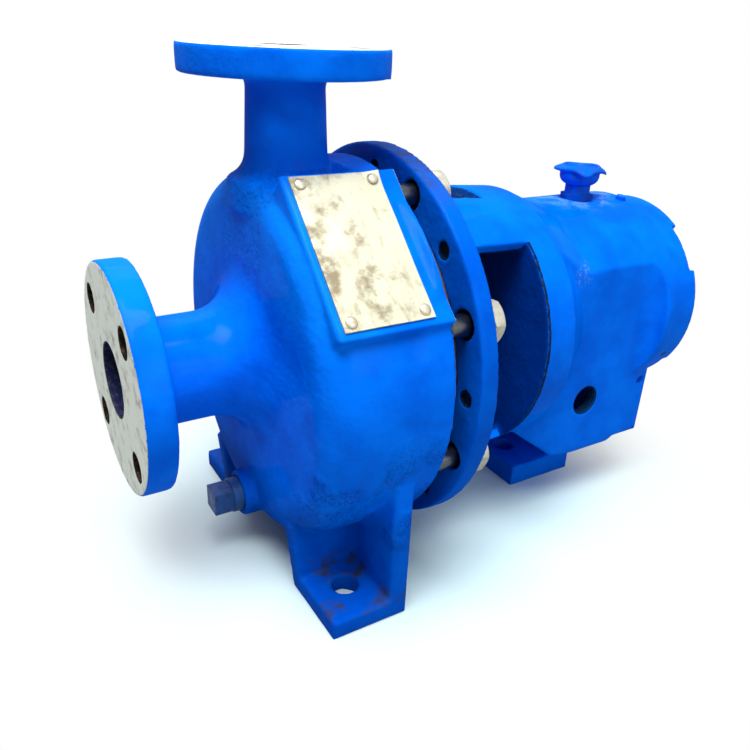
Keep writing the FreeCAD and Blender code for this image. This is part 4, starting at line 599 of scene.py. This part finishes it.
# %% Plate metal
PLATE_TONE = (0.635, 0.625, 0.480)
PLATE_GREY = (0.430, 0.385, 0.265)
PLATE_BROWN = (0.150, 0.100, 0.045)


def plate_metal():
    plate = Finish("stained plate metal")
    along = plate.y * math.sin(PLATE_TILT) + (plate.z - SHAFT_Z * MM) * math.cos(PLATE_TILT)
    blotches = plate.noise(13, 6, 0.66, w=0.2)
    runs = plate.noise(7, 5, 0.6, stretch=(1.6, 0.55, 0.55), w=1.4)
    front = plate.step(plate.x, -0.006, -0.019)
    middle = plate.step(plate.x, 0.016, 0.004) * plate.step(plate.x, -0.008, 0.002)
    brown = plate.step(blotches + front * 0.12 + middle * 0.06, 0.50, 0.76)
    grey = plate.step(runs - along * 1.2, 0.52, 0.72)
    tone = plate.mix(grey * 0.8, PLATE_TONE, PLATE_GREY)
    tone = plate.mix(brown * 0.85, tone, PLATE_BROWN)
    fine = plate.noise(1.1, 3, 0.6, w=3.0)
    normal = plate.bump(fine * 0.3 + blotches * 0.5, 0.25, plate.rounded(0.25), 0.5)
    return plate.set(Base_Color=tone, Roughness=plate.blend(brown, 0.36, 0.6),
                     Metallic=plate.blend(brown, 0.45, 0.1), Normal=normal)


plate_finish = plate_metal()
rivet_metal = metal("rivet metal", (0.62, 0.57, 0.44), (0.25, 0.18, 0.10), 0.34, 0.6, None, 0.2, 9.0, 0.8)

# %% [markdown]
# The soft and brittle parts inside are seen only when the pump is taken apart: pressed fibre,
# lapped carbon and ceramic, and black rubber. Each still gets its own grain.

# %% Fibre, carbon, ceramic, rubber and glass
def grained(name, colour, second, size, gloss, depth=0.05, edges=0.3, seed=0.0):
    work = Finish(name)
    grain = work.noise(size, 4, 0.6, w=seed)
    tone = work.mix(work.step(grain, 0.35, 0.68), colour, second)
    fine = work.noise(size * 0.25, 3, 0.6, w=seed + 1.0)
    normal = work.bump(fine, depth, work.rounded(edges), 0.7)
    return work.set(Base_Color=tone, Roughness=work.blend(grain, gloss, gloss + 0.12), Normal=normal)


fibre = grained("pressed fibre", (0.10, 0.16, 0.13), (0.05, 0.09, 0.075), 1.2, 0.75, 0.12, 0.2, 1.0)
carbon = grained("lapped carbon", (0.050, 0.050, 0.055), (0.030, 0.030, 0.034), 0.8, 0.28, 0.02, 0.2, 2.0)
ceramic = grained("lapped ceramic", (0.78, 0.75, 0.68), (0.70, 0.66, 0.58), 1.6, 0.22, 0.02, 0.2, 3.0)
rubber = grained("black rubber", (0.030, 0.030, 0.030), (0.016, 0.016, 0.018), 1.4, 0.55, 0.05, 0.5, 4.0)


def lens_glass():
    glass = Finish("clear glass")
    haze = glass.noise(5, 4, 0.6, w=2.0)
    tone = glass.mix(glass.step(haze, 0.4, 0.75), (0.86, 0.90, 0.88), (0.70, 0.72, 0.62))
    return glass.set(Base_Color=tone, Roughness=glass.blend(haze, 0.04, 0.16), Transmission_Weight=0.85,
                     IOR=1.47, Normal=glass.bump(haze, 0.05, glass.rounded(0.4), 0.3))


glass_finish = lens_glass()
print("materials so far:", len(bpy.data.materials))

# %% [markdown]
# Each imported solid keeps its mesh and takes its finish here.

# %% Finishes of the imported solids
finishes = {
    small_paint: ["filler_bushing", "filler_cap", "carrier_lock_screws"],
    casing_paint: ["casing"],
    frame_paint: ["bearing_frame"],
    carrier_paint: ["bearing_carrier"],
    old_iron: ["rear_cover"],
    stainless: ["impeller", "seal_gland", "shaft_sleeve", "seal_drive_collar"],
    zinc: ["casing_bolts", "gland_studs", "gland_nuts"],
    plug_steel: ["casing_drain_plug", "sump_drain_plug"],
    ground_steel: ["shaft", "bearing_lock_nut", "bearing_lock_washer", "bearing_retaining_ring"],
    race_steel: ["inboard_bearing_inner_ring", "inboard_bearing_outer_ring", "inboard_balls_and_cage",
                 "thrust_bearing_inner_ring", "thrust_bearing_outer_ring", "thrust_balls_and_cages"],
    plate_finish: ["nameplate"],
    rivet_metal: ["nameplate_rivets"],
    fibre: ["casing_gasket", "gland_gasket", "impeller_gasket"],
    carbon: ["seal_rotating_face"],
    ceramic: ["seal_stationary_face"],
    rubber: ["deflector", "inboard_oil_seal", "outboard_oil_seal", "carrier_o_ring"],
    brass: ["sight_glass_bezel"],
    glass_finish: ["sight_glass_lens"],
}


def dress(thing, material):
    thing.data.materials.clear()
    thing.data.materials.append(material)


dressed = 0
for material, names in finishes.items():
    for name in names:
        dress(nodes[name], material)
        dressed += 1
print("solids with a finish:", dressed, "of", len(nodes))

# %% [markdown]
# A sand casting has no sharp edge anywhere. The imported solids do, so each casting is copied,
# rebuilt as an even skin of small squares and then relaxed: every point moves a little towards
# the middle of its neighbours, again and again, which rounds the edges and fills the corners.
# Points on faces that a machine has cut are held, so flange faces, bores and holes stay true.

# %% Relaxing a casting
def skin_of(node, size):
    """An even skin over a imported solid, as points, neighbours and faces."""
    mesh = nodes[node].data.copy()
    work = bmesh.new()
    work.from_mesh(mesh)
    bmesh.ops.remove_doubles(work, verts=work.verts, dist=1e-6)
    work.to_mesh(mesh)
    work.free()
    thing = bpy.data.objects.new(node + "_skin", mesh)
    bpy.context.scene.collection.objects.link(thing)
    remesh = thing.modifiers.new("skin", "REMESH")
    remesh.mode = "VOXEL"
    remesh.voxel_size = size * MM
    remesh.use_smooth_shade = True
    graph = bpy.context.evaluated_depsgraph_get()
    made = bpy.data.meshes.new_from_object(thing.evaluated_get(graph))
    bpy.data.objects.remove(thing)
    bpy.data.meshes.remove(mesh)
    return made


def relax(mesh, held, rounds, trim=None):
    """Move points towards their neighbours; held is 1 where a point stays."""
    count = len(mesh.vertices)
    points = np.zeros(count * 3)
    mesh.vertices.foreach_get("co", points)
    points = points.reshape(-1, 3)
    edges = np.zeros(len(mesh.edges) * 2, dtype=int)
    mesh.edges.foreach_get("vertices", edges)
    a, b = edges.reshape(-1, 2).T
    degree = np.bincount(a, minlength=count) + np.bincount(b, minlength=count)
    if trim:
        trim(points)
    free = (1.0 - held(points))[:, None] * 0.6
    for _ in range(rounds):
        total = np.empty_like(points)
        for k in range(3):
            total[:, k] = np.bincount(a, points[b, k], count) + np.bincount(b, points[a, k], count)
        points += free * (total / degree[:, None] - points)
    mesh.vertices.foreach_set("co", points.ravel())
    mesh.update()


def casting(node, name, body, material, held, size=1.4, rounds=8, trim=None):
    """Replace a packed casting by its relaxed copy."""
    mesh = skin_of(node, size)
    relax(mesh, held, rounds, trim)
    piece = bpy.data.objects.new(name, mesh)
    bpy.context.scene.collection.objects.link(piece)
    dress(piece, material)
    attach(piece, body)
    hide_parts(node)
    print(name, len(mesh.polygons), "faces")


def near(values, at, reach):
    """1 where values lie at a place, fading to 0 within reach, all in millimetres."""
    return np.clip(1.5 - np.abs(values / MM - at) / reach, 0.0, 1.0)


def round_line(points, axis, first=0.0, second=0.0):
    """Distance from a line along axis, in millimetres."""
    keep = [k for k in range(3) if k != axis]
    return np.hypot(points[:, keep[0]] / MM - first, points[:, keep[1]] / MM - second)


# %% [markdown]
# On the casing the machined places are the two flange faces and their rims, the bores, the rear
# face and the undersides of the feet.

# %% Casing
def casing_held(points):
    x, y, z = points.T
    round_shaft = round_line(points, 0, 0.0, SHAFT_Z)
    round_riser = round_line(points, 2)
    held = near(x, SUCTION_FACE_X, 2.0)
    held = np.maximum(held, near(z, DISCHARGE_FACE_Z, 2.0))
    held = np.maximum(held, near(z, 0.0, 1.0))
    held = np.maximum(held, near(x, CASING_BACK_X, 1.5))
    held = np.maximum(held, (round_shaft < 28) * (x < -0.030))
    held = np.maximum(held, (round_riser < 18) * (z > 0.21))
    off_pad = math.sin(PLATE_TILT) * (z / MM - SHAFT_Z) - math.cos(PLATE_TILT) * y / MM
    on_pad = np.clip(1.6 - np.abs(off_pad - 105.5) / 2.5, 0.0, 0.8) * (x > -0.0235)
    return np.maximum(held, on_pad)


def casing_trim(points):
    """Keep the pad inside the turned rim at the back of the casing."""
    x, y, z = points.T
    reach = np.hypot(y, z - SHAFT_Z * MM)
    behind = np.clip((x / MM - 22.0) / 14.0, 0.0, 1.0) * (z < 0.238) * (z > SHAFT_Z * MM) * (y < -0.01)
    limit = 0.1160 - 0.0024 * behind
    share = np.where((behind > 0) & (reach > limit), limit / np.maximum(reach, 1e-9), 1.0)
    points[:, 1] = y * share
    points[:, 2] = SHAFT_Z * MM + (z - SHAFT_Z * MM) * share


casting("casing", "casing_casting", "pump_frame", casing_paint, casing_held, 1.3, 5, casing_trim)

# %% [markdown]
# The frame has crisper edges than the volute, so it gets a finer skin and only two rounds. On top
# of its drum, between the two highest bolts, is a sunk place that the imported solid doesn't have.
# Before the rounds, the points of the outer skin there are lowered by less than the wall, so that
# no opening is made and the inside stays as it is.

# %% Bearing frame
def frame_held(points):
    x, y, z = points.T
    round_shaft = round_line(points, 0, 0.0, SHAFT_Z)
    held = near(x, RING_FRONT_X, 1.5)
    held = np.maximum(held, near(x, RING_BACK_X, 1.2) * (round_shaft > 92) * 0.8)
    held = np.maximum(held, near(z, 0.0, 1.0))
    held = np.maximum(held, near(x, HOUSING_BACK_X, 1.2))
    return held


def frame_trim(points):
    """Sink the place on top of the drum by less than the wall."""
    x, y, z = points.T
    round_shaft = round_line(points, 0, 0.0, SHAFT_Z)
    outside = np.interp(x / MM, [RING_BACK_X, WALL_X], [DRUM_FRONT_R, DRUM_WALL_R])
    skin = (round_shaft > outside - 5.0) * (round_shaft < outside + 1.5) * (z > 0.2)
    along = np.clip((RECESS_END - x / MM) / 1.6, 0, 1) * np.clip((x / MM - RING_BACK_X - 1.0) / 1.6, 0, 1)
    deep = RECESS_DEPTH * along * np.clip((RECESS_HALF - np.abs(y) / MM) / 1.6, 0, 1) * skin
    keep = 1.0 - deep / np.maximum(round_shaft, 1.0)
    points[:, 1] = y * keep
    points[:, 2] = SHAFT_Z * MM + (z - SHAFT_Z * MM) * keep


casting("bearing_frame", "bearing_frame_casting", "pump_frame", frame_paint, frame_held, 1.2, 2, frame_trim)

# %% [markdown]
# The carrier is the smallest of the three. Its turned hub and the part inside the housing are held,
# and only the notched rim is softened. It rides on its own body, because it turns in its thread.

# %% Bearing carrier
def carrier_held(points):
    x, y, z = points.T
    round_shaft = round_line(points, 0, 0.0, SHAFT_Z)
    return np.maximum((round_shaft < 46) * 1.0, (x < SEAM_X * MM) * 1.0)


casting("bearing_carrier", "bearing_carrier_casting", "carrier", carrier_paint, carrier_held, 0.9, 2)

# %% [markdown]
# The bolts, the cap and the rivets are all turned or forged round one line, so one helper builds
# them from rings of points: each ring is an outline at one height, neighbouring rings are joined
# by strips of faces, and the two ends are closed.

# %% Pieces built from rings
class Skin:
    """Points and faces of a piece that is built from rings."""

    def __init__(self):
        self.points = []
        self.faces = []

    def rings(self, rings):
        """Join a row of rings and close its ends."""
        size = len(rings[0])
        start = len(self.points)
        for ring in rings:
            self.points.extend(tuple(point) for point in ring)
        for level in range(len(rings) - 1):
            low = start + level * size
            for k in range(size):
                after = (k + 1) % size
                self.faces.append((low + k, low + after, low + size + after, low + size + k))
        self.faces.append(tuple(start + k for k in reversed(range(size))))
        last = start + (len(rings) - 1) * size
        self.faces.append(tuple(last + k for k in range(size)))

    def piece(self, name, body, slot, material, stands_for=(), sharp=38.0):
        mesh = bpy.data.meshes.new(name)
        mesh.from_pydata([[c * MM for c in point] for point in self.points], [], self.faces)
        work = bmesh.new()
        work.from_mesh(mesh)
        bmesh.ops.recalc_face_normals(work, faces=work.faces)
        work.to_mesh(mesh)
        work.free()
        mesh.polygons.foreach_set("use_smooth", [True] * len(mesh.polygons))
        mesh.set_sharp_from_angle(angle=math.radians(sharp))
        thing = bpy.data.objects.new(name, mesh)
        bpy.context.scene.collection.objects.link(thing)
        dress(thing, material)
        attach(thing, body)
        if stands_for:
            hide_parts(*stands_for)
        print(name, len(mesh.polygons), "faces")


def six_sided(angle, flats):
    """Distance from the middle to the side of a hexagon, towards an angle."""
    part = math.radians(60)
    return flats / 2 / math.cos((angle % part) - part / 2)


# %% [markdown]
# Eight hexagon bolts pull the frame on to the casing. Their heads are plated and have dried to a
# dull beige, with the corners turned off under thirty degrees; the shanks in the gap are dark.

# %% Casing bolts
HEAD_FLATS = 22.2
HEAD_HEIGHT = 8.3
SHANK_RADIUS = 6.35
SHANK_END_X = 25.0
BOLT_POINTS = 48


def bolt_ring(x, centre, turned, radius):
    """One outline of a bolt; radius is a number or a rule for each angle."""
    ring = []
    for k in range(BOLT_POINTS):
        angle = math.tau * k / BOLT_POINTS
        reach = radius(angle - turned) if callable(radius) else radius
        ring.append((x, centre[0] - reach * math.cos(angle), centre[1] + reach * math.sin(angle)))
    return ring


def chamfered(limit):
    return lambda angle: min(six_sided(angle, HEAD_FLATS), limit)


bolts = Skin()
for index in range(BOLT_COUNT):
    centre = place_round_shaft(BOLT_CIRCLE, BOLT_FIRST + index * 360 / BOLT_COUNT)
    turned = math.radians(17 * index + 8)
    head_x = RING_BACK_X + HEAD_HEIGHT
    rows = [(head_x - 0.1, 2.0), (head_x, 10.2), (head_x - 0.2, chamfered(10.9))]
    rows += [(head_x - 0.45 - 0.35 * k, chamfered(11.3 + 0.5 * k)) for k in range(4)]
    rows += [(RING_BACK_X + 1.0, chamfered(12.9)), (RING_BACK_X + 0.7, chamfered(11.4))]
    rows += [(RING_BACK_X + 0.6, 10.7), (RING_BACK_X, 10.6), (RING_BACK_X, SHANK_RADIUS)]
    rows += [(RING_BACK_X - 1.0 - 2.1 * k, SHANK_RADIUS) for k in range(10)]
    ridge = RING_BACK_X - 21
    while ridge > SHANK_END_X + 2:
        rows += [(ridge, SHANK_RADIUS), (ridge - 0.9, SHANK_RADIUS - 0.75)]
        ridge -= 1.95
    rows += [(SHANK_END_X + 0.9, SHANK_RADIUS - 0.2), (SHANK_END_X, SHANK_RADIUS - 1.1)]
    bolts.rings([bolt_ring(x, centre, turned, radius) for x, radius in rows])


def bolt_metal():
    bolt = Finish("plated bolt metal")
    spots = bolt.step(bolt.noise(5.5, 5, 0.66, w=0.7), 0.40, 0.70)
    dots = bolt.step(bolt.noise(1.3, 3, 0.7, w=4.7), 0.62, 0.70)
    plated = bolt.mix(spots * 0.6, (0.50, 0.49, 0.41), (0.33, 0.31, 0.25))
    plated = bolt.mix(dots * 0.5, plated, (0.16, 0.13, 0.10))
    shank = bolt.step(bolt.x, 0.0655, 0.0651)
    tone = bolt.mix(shank, plated, (0.10, 0.11, 0.115))
    height = bolt.noise(1.0, 3, 0.6, w=2.0)
    normal = bolt.bump(height, 0.08, bolt.rounded(0.35), 0.6)
    return bolt.set(Base_Color=tone, Roughness=bolt.blend(shank, bolt.blend(spots, 0.36, 0.55), 0.27),
                    Metallic=bolt.blend(shank, 0.6, 1.0), Normal=normal)


bolts.piece("casing_bolt_set", "pump_frame", "zinc_steel", bolt_metal(), ["casing_bolts"])

# %% [markdown]
# The vent cap of the filler is a small casting that is turned by hand: a round bowl with a rim
# that is drawn out into four finger tabs. Two of them have been knocked downwards over the years.
# A ring of the rim is a circle that is pushed out and down towards each tab.

# %% Filler cap
CAP_Z = 215.35
CAP_POINTS = 96
TABS = [(-32.0, 3.2), (58.0, 0.4), (148.0, 0.2), (238.0, 2.8)]


def tab_share(angle, middle, width):
    away = (math.degrees(angle) - middle + 180) % 360 - 180
    return math.exp(-(away / width) ** 2)


def cap_ring(radius, z, reach=0.0, droop=0.0, width=21.0):
    ring = []
    for k in range(CAP_POINTS):
        angle = math.tau * k / CAP_POINTS
        share = sum(tab_share(angle, middle, width) for middle, _ in TABS)
        fall = sum(tab_share(angle, middle, width) * down for middle, down in TABS)
        wave = 0.35 * math.cos(angle * 3 + 0.7)
        outward = radius + reach * share
        lift = CAP_Z + z - droop * fall + (wave if reach or droop else 0.0)
        ring.append((FILLER_X + outward * math.cos(angle), outward * math.sin(angle), lift))
    return ring


cap = Skin()
cap.rings([
    cap_ring(2.0, -10.0), cap_ring(5.4, -10.0), cap_ring(5.9, -9.4), cap_ring(5.9, 0.2), cap_ring(9.2, 0.35),
    cap_ring(10.2, 0.8), cap_ring(11.6, 1.9), cap_ring(12.6, 3.2), cap_ring(13.2, 4.8), cap_ring(13.4, 6.6),
    cap_ring(13.4, 8.0), cap_ring(13.5, 8.9, 0.6, 0.3), cap_ring(13.9, 9.5, 2.8, 0.7),
    cap_ring(14.2, 9.9, 3.7, 1.0), cap_ring(14.3, 10.6, 4.0, 1.0), cap_ring(14.1, 11.4, 3.8, 0.9),
    cap_ring(13.5, 11.9, 3.1, 0.6), cap_ring(12.7, 12.3, 1.8, 0.3), cap_ring(12.0, 12.9, 0.5, 0.0),
    cap_ring(11.2, 13.0, 0.2), cap_ring(10.5, 12.3), cap_ring(9.9, 11.0), cap_ring(8.6, 10.4),
    cap_ring(5.0, 10.1), cap_ring(1.5, 10.0),
])
cap.piece("vent_cap", "cap", "blue_paint", small_paint, ["filler_cap"], 50.0)

# %% [markdown]
# The plate is a sheet one millimetre thick on the tilted pad. It isn't quite flat any more: it has
# slow waves, and its upper rear corner has been lifted. A grid of points lets it bend, and four
# domed rivets hold it.

# %% Plate and rivets
PAD_FACE = 105.5
PLATE_X = (-18.2, 31.5)
PLATE_UP = (-38.0, 45.6)


def on_plate(x, along, off):
    """A point in the drawing, from its place on the pad."""
    normal = (-math.cos(PLATE_TILT), math.sin(PLATE_TILT))
    upward = (math.sin(PLATE_TILT), math.cos(PLATE_TILT))
    return (x, normal[0] * off + upward[0] * along, SHAFT_Z + normal[1] * off + upward[1] * along)


def plate_lift(x, along):
    corner = max(0.0, 1.0 - math.hypot(x - PLATE_X[1], along - PLATE_UP[1]) / 12.0)
    wave = 0.12 * math.sin(x * 0.21 + 1.0) * math.sin(along * 0.13)
    return 0.18 + wave + 1.5 * corner ** 2


plate = Skin()
across = 36
upwards = 56
sheet_rows = []
for row in range(upwards + 1):
    along = PLATE_UP[0] + (PLATE_UP[1] - PLATE_UP[0]) * row / upwards
    loop = []
    for side in (1.0, 0.0):
        for column in range(across + 1):
            share = column / across if side else 1 - column / across
            x = PLATE_X[0] + (PLATE_X[1] - PLATE_X[0]) * share
            loop.append(on_plate(x, along, PAD_FACE + plate_lift(x, along) + side))
    sheet_rows.append(loop)
plate.rings(sheet_rows)
plate.piece("blank_plate", "pump_frame", "plate_metal", plate_finish, ["nameplate"], 45.0)

RIVET_INSET = 4.6
RIVET_POINTS = 28
rivets = Skin()
for x in (PLATE_X[0] + RIVET_INSET, PLATE_X[1] - RIVET_INSET):
    for along in (PLATE_UP[0] + RIVET_INSET, PLATE_UP[1] - RIVET_INSET):
        rings = []
        seat = PAD_FACE + 1.0 + plate_lift(x, along)
        for radius, height in ((1.3, -5.0), (1.3, 0.0), (3.0, 0.0), (3.15, 0.25), (3.05, 0.7), (2.6, 1.25),
                               (1.8, 1.65), (0.9, 1.8), (0.3, 1.82)):
            ring = []
            for k in range(RIVET_POINTS):
                angle = math.tau * k / RIVET_POINTS
                ring.append(on_plate(x + radius * math.cos(angle), along + radius * math.sin(angle),
                                     seat + height))
            rings.append(ring)
        rivets.rings(rings)
rivets.piece("plate_rivets", "pump_frame", "plate_metal", rivet_metal, ["nameplate_rivets"], 50.0)

# %% [markdown]
# The floor is a plain white sheet and the room is white too. Close to the pump the sheet is real
# and takes its shadow; further out it gives way to the same white as the room, so no edge shows.
# The camera sees that pale sheet, and camera and mirror rays both see the white further out. For
# every other ray the sheet is grey, or it would throw too much light on the undersides.

# %% Floor
floor_mesh = bpy.data.meshes.new("floor")
side = 12.0
floor_mesh.from_pydata([(-side, -side, 0), (side, -side, 0), (side, side, 0), (-side, side, 0)], [],
                       [(0, 1, 2, 3)])
floor = bpy.data.objects.new("floor", floor_mesh)
bpy.context.scene.collection.objects.link(floor)
sheet = Finish("floor paper")
camera_sees = sheet.node("ShaderNodeLightPath", out="Is Camera Ray")
mirrored = sheet.both(sheet.node("ShaderNodeLightPath", out="Is Glossy Ray"),
                      sheet.node("ShaderNodeLightPath", out="Is Transmission Ray"))
paper = sheet.mix(sheet.noise(900, 2, 0.5) * 0.1, (0.62, 0.80, 0.84), (0.58, 0.76, 0.80))
paper = sheet.mix(camera_sees, (0.36, 0.40, 0.40), paper)
sheet.set(Base_Color=paper, Roughness=0.9, Specular_IOR_Level=0.1)
white = sheet.node("ShaderNodeEmission", {}, {"Color": (1.0, 1.0, 1.0), "Strength": 1.0})
sideways = sheet.x - 0.09
away = (sideways * sideways + sheet.y * sheet.y) ** 0.5
fade = sheet.step(away, 0.09, 0.27) * sheet.both(camera_sees, mirrored)
both_sheets = sheet.node("ShaderNodeMixShader", {}, {0: fade, 2: white})
sheet.tree.links.new(sheet.shader.outputs[0], both_sheets.socket.node.inputs[1])
sheet.tree.links.new(both_sheets.socket, sheet.tree.nodes["Material Output"].inputs["Surface"])
dress(floor, sheet.material)

# %% [markdown]
# Three large soft lamps light the pump: a key lamp almost overhead, a weaker one on the near side
# and one behind. The room adds a little light from everywhere. Their level is the one at which a
# colour renders about as it is written, and white comes from the room's own colour.

# %% Lamps and room
def lamp(name, at, target, size, power, colour):
    data = bpy.data.lights.new(name, "AREA")
    data.shape = "SQUARE"
    data.size = size
    data.energy = power
    data.color = colour
    thing = bpy.data.objects.new(name, data)
    bpy.context.scene.collection.objects.link(thing)
    thing.location = at
    thing.rotation_mode = "QUATERNION"
    thing.rotation_quaternion = (Vector(target) - Vector(at)).to_track_quat("-Z", "Y")


middle = (0.09, 0.0, 0.14)
lamp("key lamp", (-0.24, -0.32, 1.65), middle, 1.0, 48.0, (1.0, 1.0, 0.98))
lamp("near lamp", (0.40, -1.9, 0.9), middle, 1.3, 11.0, (0.97, 1.0, 1.0))
lamp("rear lamp", (0.3, 1.5, 1.4), middle, 1.0, 8.0, (0.97, 1.0, 1.0))

world = bpy.data.worlds.new("room")
bpy.context.scene.world = world
world.use_nodes = True
room_nodes = world.node_tree.nodes
room_light = room_nodes["Background"]
room_light.inputs["Color"].default_value = (0.90, 1.0, 1.0, 1.0)
room_light.inputs["Strength"].default_value = 0.15
room_seen = room_nodes.new("ShaderNodeBackground")
room_seen.inputs["Color"].default_value = (1.0, 1.0, 1.0, 1.0)
room_mix = room_nodes.new("ShaderNodeMixShader")
path = room_nodes.new("ShaderNodeLightPath")
white_for = path.outputs["Is Camera Ray"]
for kind in ("Is Glossy Ray", "Is Transmission Ray"):
    either = room_nodes.new("ShaderNodeMath")
    either.operation = "MAXIMUM"
    world.node_tree.links.new(white_for, either.inputs[0])
    world.node_tree.links.new(path.outputs[kind], either.inputs[1])
    white_for = either.outputs[0]
world.node_tree.links.new(white_for, room_mix.inputs[0])
world.node_tree.links.new(room_light.outputs[0], room_mix.inputs[1])
world.node_tree.links.new(room_seen.outputs[0], room_mix.inputs[2])
world.node_tree.links.new(room_mix.outputs[0], room_nodes["World Output"].inputs[0])
bpy.context.scene.view_settings.view_transform = "Standard"
print("lamps and room are set")
